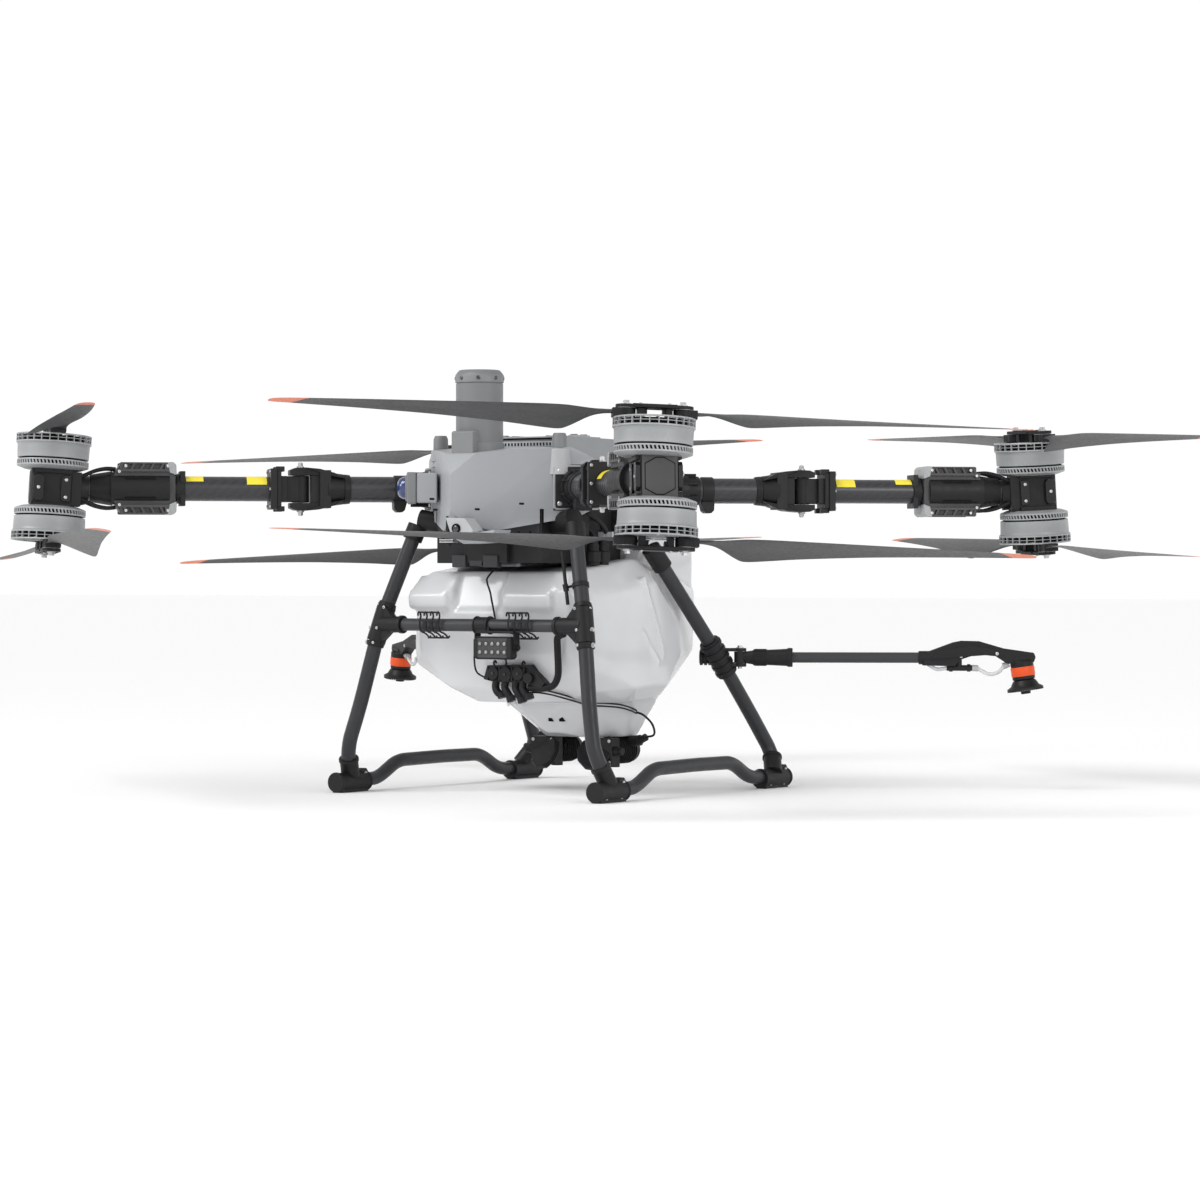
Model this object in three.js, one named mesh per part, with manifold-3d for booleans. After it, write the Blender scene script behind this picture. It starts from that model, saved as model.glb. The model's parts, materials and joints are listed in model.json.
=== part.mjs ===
// Agricultural spray drone with four folding arms and eight coaxial rotors.
// Millimetres, +Z up, nose towards -Y, skids standing on z = 0.
// Left and right are the aircraft's own, so the left side is +X.
// The exported group's origin is under the middle of the bounding box.
import * as THREE from "three";
import { ConvexGeometry } from "three/addons/geometries/ConvexGeometry.js";
import { mergeVertices } from "three/addons/utils/BufferGeometryUtils.js";
import Module from "manifold-3d";

const wasm = await Module();
wasm.setup();

// ---- Driving dimensions -------------------------------------------------------------------

const GAP = 0.3; // between pieces that touch
const DEGREE = Math.PI / 180;

const MOTOR_RADIUS = 1170; // each motor axis from the centre of the drone
const ARM_HEIGHT = 705.5; // the arm tubes' axis above the ground
const ROOT_PLATE = 300; // outer face of the arm's root plate, from the centre
const FOLD_PIN = 598; // the arm's vertical fold pin, from the centre
const INNER_TUBE_RADIUS = 30;
const OUTER_TUBE_RADIUS = 28.5;
const MOTOR_LEAN = 3.3 * DEGREE; // each motor pair leans in at the top
const MOTOR_ROLL = 2.5 * DEGREE; // each disc rolls about its arm, the lower one the other way

const BLADE_TIP = 787.5; // rotor radius
const BLADE_PIVOT = 58.5; // each blade's fold bolt from the rotor axis
const BLADE_BOLT = 5;
const BELL_RADIUS = 85.5;
const BELL_LOW = 66; // heights above the arm's axis, mirrored for the lower rotor
const BELL_HIGH = 121;
const HUB_PLATE_LOW = 140.5;
const HUB_PLATE_HIGH = 148.5;
const HUB_HEIGHT = 137.5; // the discs' plane above the arm's axis
const SHAFT_RADIUS = 10;

const FRAME_LOW = 655; // the hub frame of the four arm roots
const FRAME_HIGH = 756;
const ROOT_HALF_WIDTH = 52;
const HUB_HALF_WIDTH = 122;

const LEG_RADIUS = 17;
const FRONT_LEG = [
  [224.5, -239, 612.5],
  [287, -294, 397],
  [323, -326, 204],
  [343, -340, 122],
  [352, -334, 90],
  [358, -322, 64],
]; // the left front leg from its top end to its foot
const REAR_LEG = [
  [241, 77, 543.5],
  [270, 167, 425],
  [298, 252, 312],
  [326, 349, 177],
  [341, 405, 97],
  [351, 407, 72],
  [357, 399, 60],
];
const FOOT_FRONT_Y = -310;
const FOOT_REAR_Y = 386;
const SKID_RADIUS = 16;
const SKID_X = 364;
const CROSSBAR_RADIUS = 14.5;
const CROSSBAR_HEIGHT = 392;
const CROSSBAR_Y = -301;
const TEE_REACH = 215; // inner ends of the crossbar's tees from the middle

const TANK_WALL = 5;
const TANK_TOP = 684;
const FILLER = { x: 0, y: 228, radius: 48 };
const BOOM_HEIGHT = 312;
const BOOM_DIRECTION = Math.atan2(0.492, 0.87); // backward from straight out
const BOOM_CLAMP = { x: 297, y: 262 };
const BOOM_PIN = 46; // hinge pin from the clamp, along the boom
const BOOM_PIN_RADIUS = 5;
const NOZZLE_REACH = 706; // nozzle axis from the clamp, along the boom
const NOZZLE_LEAN = 8 * DEGREE;

const LIGHT = { x: 58, y: -318, z: 341, width: 105, height: 52 };
const CLIP_X = 125; // the crossbar's cable clips from the middle
const MAST = { x: 0, y: -298, radius: 54, low: 799, high: 974 };
const ANTENNA = { x: 168, y: -213, radius: 17 };
const HINGE = { radius: 22, pin: 8, barrel: 21, earLow: 28, earHigh: 44 }; // the arm's fold
const ESC = { from: 887, to: 1033, halfHeight: 59.5, halfWidth: 45 }; // speed controller

// One entry per arm: its azimuth, the roll of its upper disc, and where its blades are parked,
// measured from the arm's outward direction.
const ARMS = [
  { name: "front_left", azimuth: -45, roll: -1, upperBlades: 84.5, lowerBlades: 82.8 },
  { name: "front_right", azimuth: -135, roll: 1, upperBlades: 93, lowerBlades: 95 },
  { name: "rear_left", azimuth: 45, roll: 1, upperBlades: 105, lowerBlades: 98.7 },
  { name: "rear_right", azimuth: 135, roll: -1, upperBlades: 93.7, lowerBlades: 90.3 },
];

// ---- Colours ------------------------------------------------------------------------------

const finish = (color, roughness, metalness = 0) =>
  new THREE.MeshStandardMaterial({ color, roughness, metalness });
const SHELL_GREY = finish(0xa9abae, 0.5);
const MOTOR_GREY = finish(0x9a9c9e, 0.45, 0.4);
const MAST_GREY = finish(0x7d7e80, 0.5);
const BLACK_PLASTIC = finish(0x1c1c1e, 0.5);
const DARK_TUBE = finish(0x2b2c2e, 0.45);
const CARBON = finish(0x26272a, 0.35);
const BLADE_CHARCOAL = finish(0x3a3b3d, 0.4);
const TANK_WHITE = finish(0xe9eaec, 0.25);

// ---- Shape helpers ------------------------------------------------------------------------

// A closed geometry as a solid that can be joined and cut.
function solidOf(geometry) {
  const bare = geometry.clone();
  bare.deleteAttribute("normal");
  bare.deleteAttribute("uv");
  const merged = mergeVertices(bare, 1e-4);
  return new wasm.Manifold(
    new wasm.Mesh({
      numProp: 3,
      vertProperties: merged.attributes.position.array,
      triVerts: new Uint32Array(merged.index.array),
    }),
  );
}

function geometryOf(solid) {
  const { vertProperties, triVerts } = solid.getMesh();
  const geometry = new THREE.BufferGeometry();
  geometry.setAttribute("position", new THREE.BufferAttribute(vertProperties, 3));
  geometry.setIndex(new THREE.BufferAttribute(triVerts, 1));
  return geometry;
}

function join(...geometries) {
  return geometryOf(geometries.map(solidOf).reduce((whole, next) => whole.add(next)));
}

function cut(geometry, ...tools) {
  const whole = solidOf(geometry);
  return geometryOf(tools.map(solidOf).reduce((rest, tool) => rest.subtract(tool), whole));
}

// A box from its lowest to its highest corner.
function box(low, high) {
  const size = high.map((value, i) => value - low[i]);
  const middle = high.map((value, i) => (value + low[i]) / 2);
  return new THREE.BoxGeometry(...size).translate(...middle);
}

// A cylinder or cone between two points.
function rod(from, to, radius, endRadius = radius, sides = 8) {
  const start = new THREE.Vector3(...from);
  const end = new THREE.Vector3(...to);
  const along = end.clone().sub(start);
  const geometry = new THREE.CylinderGeometry(endRadius, radius, along.length(), sides);
  const turn = new THREE.Quaternion().setFromUnitVectors(
    new THREE.Vector3(0, 1, 0),
    along.clone().normalize(),
  );
  const middle = start.add(end).multiplyScalar(0.5);
  return geometry.applyQuaternion(turn).translate(...middle);
}

// The corner radius of a many-sided bore that clears a round pin all the way round.
function boreRadius(pinRadius, sides) {
  return (pinRadius + GAP) / Math.cos(Math.PI / sides);
}

// A profile of [radius, height] pairs turned about Z; it starts and ends on the axis.
function turned(profile, sides = 16) {
  const points = profile.map(([radius, height]) => new THREE.Vector2(radius, height));
  return new THREE.LatheGeometry(points, sides).rotateX(Math.PI / 2);
}

// An outline in the XY plane, raised from one height to another.
function raised(outline, low, high) {
  const shape = new THREE.Shape(outline.map(([x, y]) => new THREE.Vector2(x, y)));
  const options = { depth: high - low, bevelEnabled: false };
  return new THREE.ExtrudeGeometry(shape, options).translate(0, 0, low);
}

// An outline in the XZ plane, spread evenly about y = 0.
function upright(outline, width) {
  return raised(outline, -width / 2, width / 2).rotateX(Math.PI / 2);
}

function roundOutline(radius, sides) {
  return Array.from({ length: sides }, (_, i) => {
    const angle = (2 * Math.PI * i) / sides;
    return new THREE.Vector2(radius * Math.cos(angle), radius * Math.sin(angle));
  });
}

// A bent tube through a few points.
function bentTube(points, radius, steps, sides = 8) {
  const path = new THREE.CatmullRomCurve3(
    points.map((point) => new THREE.Vector3(...point)),
    false,
    "catmullrom",
    0.3,
  );
  const shape = new THREE.Shape(roundOutline(radius, sides));
  return new THREE.ExtrudeGeometry(shape, { steps, extrudePath: path, bevelEnabled: false });
}

// The smallest convex solid around points; each is given once and mirrored across x = 0.
function facetedBody(points) {
  const both = points.flatMap(([x, y, z]) => [
    new THREE.Vector3(x, y, z),
    new THREE.Vector3(-x, y, z),
  ]);
  return new ConvexGeometry(both);
}

// A left-hand route, or its mirror image when the side is -1.
const onSide = (points, side) => points.map(([x, y, z]) => [side * x, y, z]);

function node(name, geometry, material) {
  const mesh = new THREE.Mesh(geometry, material);
  mesh.name = name;
  return mesh;
}

function groupOf(...children) {
  const group = new THREE.Group();
  group.add(...children);
  return group;
}

// ---- Airframe -----------------------------------------------------------------------------

// The beam of one arm root, grown by a clearance for cutting its neighbours.
function rootBeam(azimuth, clearance = 0, length = ROOT_PLATE - 8) {
  const halfWidth = ROOT_HALF_WIDTH + clearance;
  const beam = box(
    [0, -halfWidth, FRAME_LOW - clearance],
    [length, halfWidth, FRAME_HIGH + clearance],
  );
  return beam.rotateZ(azimuth * DEGREE);
}

function hubCore(clearance = 0) {
  const half = HUB_HALF_WIDTH + clearance;
  return box([-half, -half, FRAME_LOW - clearance], [half, half, FRAME_HIGH + clearance]);
}

// The short sleeve that a leg's top end meets, in line with the leg.
function legSocket(route, side, length) {
  const [top, next] = onSide(route, side).map((point) => new THREE.Vector3(...point));
  const up = top.clone().sub(next).normalize();
  const mouth = top.clone().addScaledVector(up, 1.5);
  return rod(mouth.toArray(), mouth.clone().addScaledVector(up, length).toArray(), 22, 24);
}

// The black structure: hub, four arm roots, the tray over the tank and the leg sockets.
function centerFrame() {
  const sockets = [1, -1].flatMap((side) => [
    rod([side * 140, -205, 620], [side * 218, -234, 636], 24, 24),
    legSocket(FRONT_LEG, side, 36),
    box([side * 172 - 30, -225, 600], [side * 172 + 30, -150, FRAME_LOW + 1]),
    rod([side * 150, 40, 640], [side * 228, 52, 592], 22, 22),
    legSocket(REAR_LEG, side, 58),
    box([side * 165 - 24, 20, 600], [side * 165 + 24, 90, FRAME_LOW + 1]),
  ]);
  return join(
    hubCore(),
    ...ARMS.map((arm) => rootBeam(arm.azimuth)),
    box([-148, -262, 532], [148, 60, FRAME_LOW + 1]),
    box([-60, -275, 534], [60, -225, 584]),
    ...sockets,
  );
}

// Everything outside the plane of an arm's root plate.
function beyondPlate(azimuth) {
  return box([ROOT_PLATE - 9, -300, 0], [600, 300, 1000]).rotateZ(azimuth * DEGREE);
}

// The grey nose: flat facets meeting at a blunt front, open at the back around the hub.
function noseShell() {
  const outer = facetedBody([
    [44, -422, 722],
    [46, -419, 664],
    [60, -388, 622],
    [80, -343, 607],
    [86, -369, 783],
    [104, -262, 798],
    [146, -278, 626],
    [169, -255, 748],
    [184, -240, 650],
    [196, -212, 798],
    [214, -205, 640],
    [236, -178, 772],
    [240, -176, 660],
    [128, -128, 800],
    [150, -150, 640],
  ]);
  const clearance = 2;
  const legNotch = (side) => box([side * 200 - 60, -262, 560], [side * 200 + 60, -100, FRAME_LOW + 9]);
  return cut(
    outer,
    hubCore(clearance),
    rootBeam(-45, clearance),
    rootBeam(-135, clearance),
    beyondPlate(-45),
    beyondPlate(-135),
    box([-152, -266, 500], [152, 100, FRAME_LOW + clearance]),
    box([-300, -136, 500], [300, 100, 900]),
    legNotch(1),
    legNotch(-1),
  );
}

// The sensor mast with its wider base and chamfered cap, and the antenna box before it.
function radarMast() {
  const mast = turned([
    [0, MAST.low],
    [MAST.radius + 3, MAST.low],
    [MAST.radius + 3, MAST.low + 8],
    [MAST.radius, MAST.low + 10],
    [MAST.radius, 943],
    [MAST.radius + 1.5, 944],
    [MAST.radius + 1.5, 964],
    [MAST.radius - 7, MAST.high],
    [0, MAST.high],
  ]).translate(MAST.x, MAST.y, 0);
  return join(mast, box([-30, -366, MAST.low], [30, -330, MAST.low + 34]));
}

// The battery under its hood, which slopes down at the back.
function battery() {
  const low = FRAME_HIGH + GAP;
  return facetedBody([
    [112, -132, low],
    [120, -128, 800],
    [112, -122, 828],
    [112, 90, 826],
    [126, 150, 800],
    [130, 188, low],
    [118, 200, low],
  ]);
}

// ---- Tank and pumps -----------------------------------------------------------------------

// The tank's outer form, or its inside when inset by the wall.
function tankForm(inset) {
  const shrink = ([x, y, z]) => [
    Math.max(x - inset, 1),
    y + (y < 20 ? inset : -inset),
    z + (z < 330 ? inset : -inset),
  ];
  const belly = [
    [196, -222, 514],
    [244, -190, 466],
    [246, -205, 440],
    [247, -214, 330],
    [236, -222, 300],
    [212, -250, 470],
    [205, -250, 330],
    [130, -240, 248],
    [60, -218, 214],
    [244, -60, 470],
    [247, 0, 300],
    [244, -20, 246],
    [200, -120, 240],
    [122, -140, 214],
    [180, 40, 208],
    [242, 120, 250],
    [240, 175, 320],
    [236, 175, 500],
    [196, 40, 545],
    [200, 300, 470],
    [200, 295, 330],
    [190, 160, 220],
  ].map(shrink);
  const sump = [
    [40, -62, 192],
    [22, 0, 136],
    [64, 60, 124],
    [110, 130, 124],
    [110, 190, 124],
    [140, 130, 166],
    [120, -60, 226],
    [180, 60, 226],
    [180, 180, 220],
  ].map(shrink);
  const tower = [
    [196, 60, 546],
    [196, 300, 546],
    [150, 140, TANK_TOP],
    [190, 296, TANK_TOP - 30],
    [180, 286, TANK_TOP],
    [196, 296, 460],
    [200, 60, 460],
  ].map(shrink);
  return join(facetedBody(belly), facetedBody(sump), facetedBody(tower));
}

// The translucent tank: a thin shell, open at the filler neck.
function tank() {
  const clearance = 8;
  const structure = [
    hubCore(clearance),
    rootBeam(45, clearance, 420),
    rootBeam(135, clearance, 420),
    box([-156, -300, 520], [156, 68, 700]),
    box([-215, 10, 590], [215, 100, 700]),
  ];
  const legSlots = [1, -1].map((side) =>
    rod([side * 232, 30, 610], [side * 274, 180, 405], 34, 34, 10),
  );
  const outer = cut(tankForm(0), ...structure, ...legSlots);
  const grown = structure.map((geometry) => growAbout(geometry, TANK_WALL));
  const grownSlots = legSlots.map((slot) => growAbout(slot, TANK_WALL));
  const inner = cut(tankForm(TANK_WALL), ...grown, ...grownSlots);
  const neckTube = (low, high, radius) =>
    rod([FILLER.x, FILLER.y, low], [FILLER.x, FILLER.y, high], radius, radius, 24);
  const neck = neckTube(600, TANK_TOP + 14, FILLER.radius + 4);
  const mouth = neckTube(590, TANK_TOP + 40, FILLER.radius);
  return cut(join(outer, neck), inner, mouth);
}

// A convex piece made larger by a margin on every side.
function growAbout(geometry, margin) {
  geometry.computeBoundingBox();
  const size = geometry.boundingBox.getSize(new THREE.Vector3());
  const middle = geometry.boundingBox.getCenter(new THREE.Vector3());
  const scale = ["x", "y", "z"].map((axis) => 1 + (2 * margin) / size[axis]);
  return geometry
    .clone()
    .translate(-middle.x, -middle.y, -middle.z)
    .scale(...scale)
    .translate(middle.x, middle.y, middle.z);
}

// A quarter-turn lid with grip ribs, made about its own axis.
function tankLid() {
  const rimRadius = FILLER.radius + 12;
  const cap = turned(
    [
      [0, 16],
      [FILLER.radius - 2, 16],
      [FILLER.radius - 2, 15],
      [FILLER.radius + 5, 15],
      [FILLER.radius + 5, 2],
      [rimRadius, 2],
      [rimRadius, 22],
      [rimRadius - 5, 26],
      [0, 26],
    ],
    16,
  );
  return join(cap, box([-rimRadius + 8, -7, 25], [rimRadius - 8, 7, 34]));
}

// A pump under the sump, with its motor can, head and outlet elbow.
function pump(side) {
  const x = side * 82;
  const z = 92;
  return join(
    rod([x, 100, z], [x, 205, z], 30, 30, 12),
    box([x - 34, 70, z - 34], [x + 34, 104, z + 31.5]),
    rod([x, 130, z - 28], [x, 130, z - 40], 14, 14),
    rod([x + side * 20, 84, z], [x + side * 56, 84, z], 9, 9),
  );
}

// ---- Landing gear -------------------------------------------------------------------------

// A tee on the crossbar's end, round the front leg.
function frontLeg(side) {
  const route = onSide(FRONT_LEG, side);
  const reach = side * TEE_REACH;
  return join(
    bentTube(route, LEG_RADIUS, 11),
    rod([side * 281, -289, 420], [side * 293, -299.5, 362], 22, 22),
    rod([side * 287, CROSSBAR_Y + 3, CROSSBAR_HEIGHT], [reach, CROSSBAR_Y, CROSSBAR_HEIGHT], 20, 18.5),
    box([side * 262 - 12, CROSSBAR_Y - 8, 366], [side * 262 + 12, CROSSBAR_Y + 12, 430]),
  );
}

// The rear leg carries the boom's clamp and its vertical hinge ears.
function rearLeg(side) {
  const route = onSide(REAR_LEG, side);
  const outward = new THREE.Vector3(side * Math.cos(BOOM_DIRECTION), Math.sin(BOOM_DIRECTION), 0);
  const at = (distance, z) => [
    side * BOOM_CLAMP.x + outward.x * distance,
    BOOM_CLAMP.y + outward.y * distance,
    z,
  ];
  const ear = (low, high) =>
    join(
      rod(at(BOOM_PIN, low), at(BOOM_PIN, high), 15, 15),
      turnedBar(at(10, 0), at(BOOM_PIN, 0), 24, low, high),
    );
  return join(
    bentTube(route, LEG_RADIUS, 11),
    rod([side * 289, 226, 347], [side * 306.5, 278, 277], 25, 25),
    ear(BOOM_HEIGHT + 14, BOOM_HEIGHT + 22),
    ear(BOOM_HEIGHT - 22, BOOM_HEIGHT - 14),
    rod(at(BOOM_PIN, BOOM_HEIGHT - 26), at(BOOM_PIN, BOOM_HEIGHT + 26), BOOM_PIN_RADIUS),
    rod([side * 262, 240, BOOM_HEIGHT], [side * 296, 256, BOOM_HEIGHT], 14, 18),
  );
}

// A flat bar between two points in plan, raised from one height to another.
function turnedBar(from, to, width, low, high) {
  const along = new THREE.Vector2(to[0] - from[0], to[1] - from[1]);
  const bar = box([0, -width / 2, low], [along.length(), width / 2, high]);
  return bar.rotateZ(along.angle()).translate(from[0], from[1], 0);
}

// A skid tube that rises between two feet, each foot a tee with an eye lug and a flat sole.
function skid(side) {
  const x = side * SKID_X;
  const route = [
    [x, -346, 24],
    [x, -215, 28],
    [x, -190, 36],
    [x, -140, 61],
    [x, -112, 67],
    [x, 50, 69],
    [x, 192, 68],
    [x, 220, 60],
    [x, 268, 36],
    [x, 295, 29],
    [x, 424, 24],
  ];
  const foot = (y, leg) => {
    const end = new THREE.Vector3(...leg.at(-1));
    const down = end.clone().sub(new THREE.Vector3(...leg.at(-2))).normalize();
    const across = new THREE.Vector3(side, 1, 1);
    const mouth = end.clone().addScaledVector(down, 4).multiply(across);
    const seat = end.clone().addScaledVector(down, 28).multiply(across);
    return [
      rod([x, y - 55, 24], [x, y + 55, 24], 22, 22),
      rod(mouth.toArray(), seat.toArray(), 21, 21),
      box([x - 14, y - 50, 0], [x + 14, y + 50, 20]),
      box([x - 7, y + 36, 24], [x + 7, y + 55, 50]),
    ];
  };
  return join(
    bentTube(route, SKID_RADIUS, 22),
    ...foot(FOOT_FRONT_Y, FRONT_LEG),
    ...foot(FOOT_REAR_Y, REAR_LEG),
  );
}

// The crossbar with two cable clips and the clamp that holds the work light.
function crossbar() {
  const halfLength = TEE_REACH - 2 * GAP;
  const along = (from, to, radius) =>
    rod([from, CROSSBAR_Y, CROSSBAR_HEIGHT], [to, CROSSBAR_Y, CROSSBAR_HEIGHT], radius);
  const clip = (x) =>
    join(
      along(x - 24, x + 24, 18),
      box([x - 24, CROSSBAR_Y - 24, CROSSBAR_HEIGHT - 20], [x + 24, CROSSBAR_Y - 14, CROSSBAR_HEIGHT + 20]),
    );
  const ear = (x) => box([x - 3, -326, 334], [x + 3, -290, 384]);
  const earOffset = LIGHT.width / 2 + 4;
  return join(
    along(-halfLength, halfLength, CROSSBAR_RADIUS),
    clip(CLIP_X),
    clip(-CLIP_X),
    along(LIGHT.x - 62, LIGHT.x + 36, 19),
    box([LIGHT.x - earOffset - 3, -318, 376], [LIGHT.x + earOffset + 3, -296, 384]),
    ear(LIGHT.x - earOffset),
    ear(LIGHT.x + earOffset),
  );
}

// The work light about its tilt axis, with cooling fins behind.
function workLight() {
  const halfWidth = LIGHT.width / 2;
  const halfHeight = LIGHT.height / 2;
  const fins = [-1.5, -0.5, 0.5, 1.5].map((row) =>
    box([-halfWidth + 8, 8, row * 11 - 2], [halfWidth - 8, 22, row * 11 + 2]),
  );
  return join(
    upright(
      [
        [-halfWidth, -halfHeight + 8],
        [-halfWidth + 8, -halfHeight],
        [halfWidth - 8, -halfHeight],
        [halfWidth, -halfHeight + 8],
        [halfWidth, halfHeight - 8],
        [halfWidth - 8, halfHeight],
        [-halfWidth + 8, halfHeight],
        [-halfWidth, halfHeight - 8],
      ],
      24,
    ),
    ...fins,
  );
}

// ---- Spray booms --------------------------------------------------------------------------

// The boom in its own frame: X outward from the hinge pin, Z up.
function boom() {
  const end = NOZZLE_REACH - BOOM_PIN;
  const knuckle = cut(
    join(rod([0, 0, -13.4], [0, 0, 13.4], 14, 14, 12), rod([6, 0, 0], [40, 0, 0], 13, 17)),
    rod([0, 0, -30], [0, 0, 30], boreRadius(BOOM_PIN_RADIUS, 8)),
  );
  const bracket = upright(
    [
      [430, -18],
      [450, 16],
      [500, 40],
      [560, 40],
      [620, 22],
      [end + 30, 10],
      [end + 32, -10],
      [end - 34, -14],
      [520, -20],
    ],
    34,
  );
  const head = [
    rod([0, 0, -20], [0, 0, -4], 27, 27, 20),
    rod([0, 0, -42], [0, 0, -20], 28, 28, 20),
    rod([0, 0, -52.5], [0, 0, -42], 25, 25, 20),
  ].map((ring) => ring.rotateY(-NOZZLE_LEAN).translate(end, 0, 0));
  return join(
    knuckle,
    rod([36, 0, 0], [121, 0, 0], 18, 20, 12),
    rod([118, 0, 0], [450, 0, 0], 12.5, 12.5, 12),
    bracket,
    ...head,
  );
}

// The spinning atomiser disc under a nozzle head, about its own axis.
function atomiser() {
  return turned(
    [
      [0, -24],
      [11, -24],
      [12, -18],
      [42.5, -14],
      [42.5, -9],
      [26, 8],
      [0, 8],
    ],
    16,
  );
}

// ---- Arms ---------------------------------------------------------------------------------

// Everything inboard of the fold: root plate, tube, sleeve and the clevis with its pin.
function innerArm() {
  const plate = box([ROOT_PLATE - 7.7, -50, -46], [ROOT_PLATE, 50, 46]);
  const collar = rod([ROOT_PLATE - 1, 0, 0], [ROOT_PLATE + 34, 0, 0], 40, 34, 12);
  const tube = rod([ROOT_PLATE, 0, 0], [500, 0, 0], INNER_TUBE_RADIUS, INNER_TUBE_RADIUS, 12);
  const sleeve = rod([483, 0, 0], [538, 0, 0], 34, 37, 12);
  const back = FOLD_PIN - 63;
  const ear = (low, high) =>
    join(
      raised(
        [
          [back, -37],
          [FOLD_PIN - 30, -HINGE.radius],
          [FOLD_PIN, -HINGE.radius],
          [FOLD_PIN, HINGE.radius],
          [FOLD_PIN - 30, HINGE.radius],
          [back, 37],
        ],
        low,
        high,
      ),
      rod([FOLD_PIN, 0, low], [FOLD_PIN, 0, high], HINGE.radius, HINGE.radius, 12),
    );
  const web = raised(
    [
      [back, -37],
      [FOLD_PIN - 32, -23],
      [FOLD_PIN - 32, 23],
      [back, 37],
    ],
    -HINGE.earHigh + 4,
    HINGE.earHigh - 4,
  );
  return join(
    plate,
    collar,
    tube,
    sleeve,
    ear(HINGE.earLow, HINGE.earHigh),
    ear(-HINGE.earHigh, -HINGE.earLow),
    web,
    rod([FOLD_PIN, 0, -50], [FOLD_PIN, 0, 50], HINGE.pin, HINGE.pin),
    box([352, -33, -52], [378, 33, 0]),
  );
}

// The swinging part of the arm, made about the fold pin: barrel, block, flange and tube.
function outerArm() {
  const bore = rod([0, 0, -60], [0, 0, 60], boreRadius(HINGE.pin, 8));
  const barrel = rod([0, 0, -27.4], [0, 0, 27.4], HINGE.barrel, HINGE.barrel, 12);
  const neck = box([10, -19, -27], [40, 19, 27]);
  const block = raised(
    [
      [34, -28],
      [44, -38],
      [52, -38],
      [52, 38],
      [44, 38],
      [34, 28],
    ],
    -43,
    43,
  );
  const flange = box([50, -46, -47], [73, 46, 47]);
  const tube = rod([70, 0, 0], [ESC.to + 1 - FOLD_PIN, 0, 0], OUTER_TUBE_RADIUS, OUTER_TUBE_RADIUS, 12);
  const collar = rod([278, 0, 0], [ESC.from - GAP - FOLD_PIN, 0, 0], 32, 36, 12);
  return cut(join(barrel, neck, block, flange, tube, collar), bore);
}

// The speed controller: a chamfered box round the tube, with cooling slots above and below.
function speedController() {
  const { from, to, halfHeight, halfWidth } = ESC;
  const chamfer = 10;
  const body = upright(
    [
      [from, -halfHeight + chamfer],
      [from + chamfer, -halfHeight],
      [to - chamfer, -halfHeight],
      [to, -halfHeight + 2 * chamfer],
      [to, halfHeight - 2 * chamfer],
      [to - chamfer, halfHeight],
      [from + chamfer, halfHeight],
      [from, halfHeight - chamfer],
    ],
    2 * halfWidth,
  );
  const bore = rod([from - 5, 0, 0], [to + 5, 0, 0], OUTER_TUBE_RADIUS + 1, OUTER_TUBE_RADIUS + 1, 12);
  return cut(body, bore).translate(-FOLD_PIN, 0, 0);
}

// The block that both motors stand on, about the motor axis, with the neck of the arm.
function motorMount(roll) {
  const inner = ESC.to + 1.6 - MOTOR_RADIUS;
  const neck = rod([inner, 0, 0], [-50, 0, 0], 33, 38, 16).rotateY(MOTOR_LEAN);
  const core = upright(
    [
      [-58, -48],
      [-58, 48],
      [48, 48],
      [48, 30],
      [42, 24],
      [42, -24],
      [48, -30],
      [48, -48],
    ],
    96,
  );
  const stator = (turn) =>
    turned(
      [
        [0, 44],
        [70, 44],
        [81.5, 49],
        [81.5, 61.5],
        [SHAFT_RADIUS, 64.5],
        [SHAFT_RADIUS, BELL_HIGH - 10],
        [0, BELL_HIGH - 10],
      ],
      16,
    )
      .translate(0, 0, -HUB_HEIGHT)
      .rotateX(turn)
      .translate(0, 0, HUB_HEIGHT);
  const upper = stator(roll * MOTOR_ROLL);
  const lower = stator(roll * MOTOR_ROLL).rotateX(Math.PI);
  return join(neck, core, upper, lower);
}

// The spinning bell with its bored hub, the plate over the blades and the two blade bolts.
function rotorHub() {
  const bore = boreRadius(SHAFT_RADIUS, 16);
  const bell = turned([
    [bore, BELL_LOW],
    [BELL_RADIUS - 4, BELL_LOW],
    [BELL_RADIUS, BELL_HIGH],
    [0, BELL_HIGH],
    [0, BELL_HIGH - 9],
    [bore, BELL_HIGH - 9],
    [bore, BELL_LOW],
  ]);
  const ends = [1, -1].flatMap((end) => [
    rod([end * BLADE_PIVOT, 0, BELL_HIGH - 1], [end * BLADE_PIVOT, 0, 156], BLADE_BOLT, BLADE_BOLT, 6),
    rod([end * BLADE_PIVOT, 0, HUB_PLATE_LOW], [end * BLADE_PIVOT, 0, HUB_PLATE_HIGH], 22, 22),
  ]);
  return join(
    bell,
    ...ends,
    box([-BLADE_PIVOT, -14, HUB_PLATE_LOW], [BLADE_PIVOT, 14, HUB_PLATE_HIGH]),
    box([-26, -9, BELL_HIGH - 1], [26, 9, HUB_PLATE_LOW + 1]),
  );
}

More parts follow.
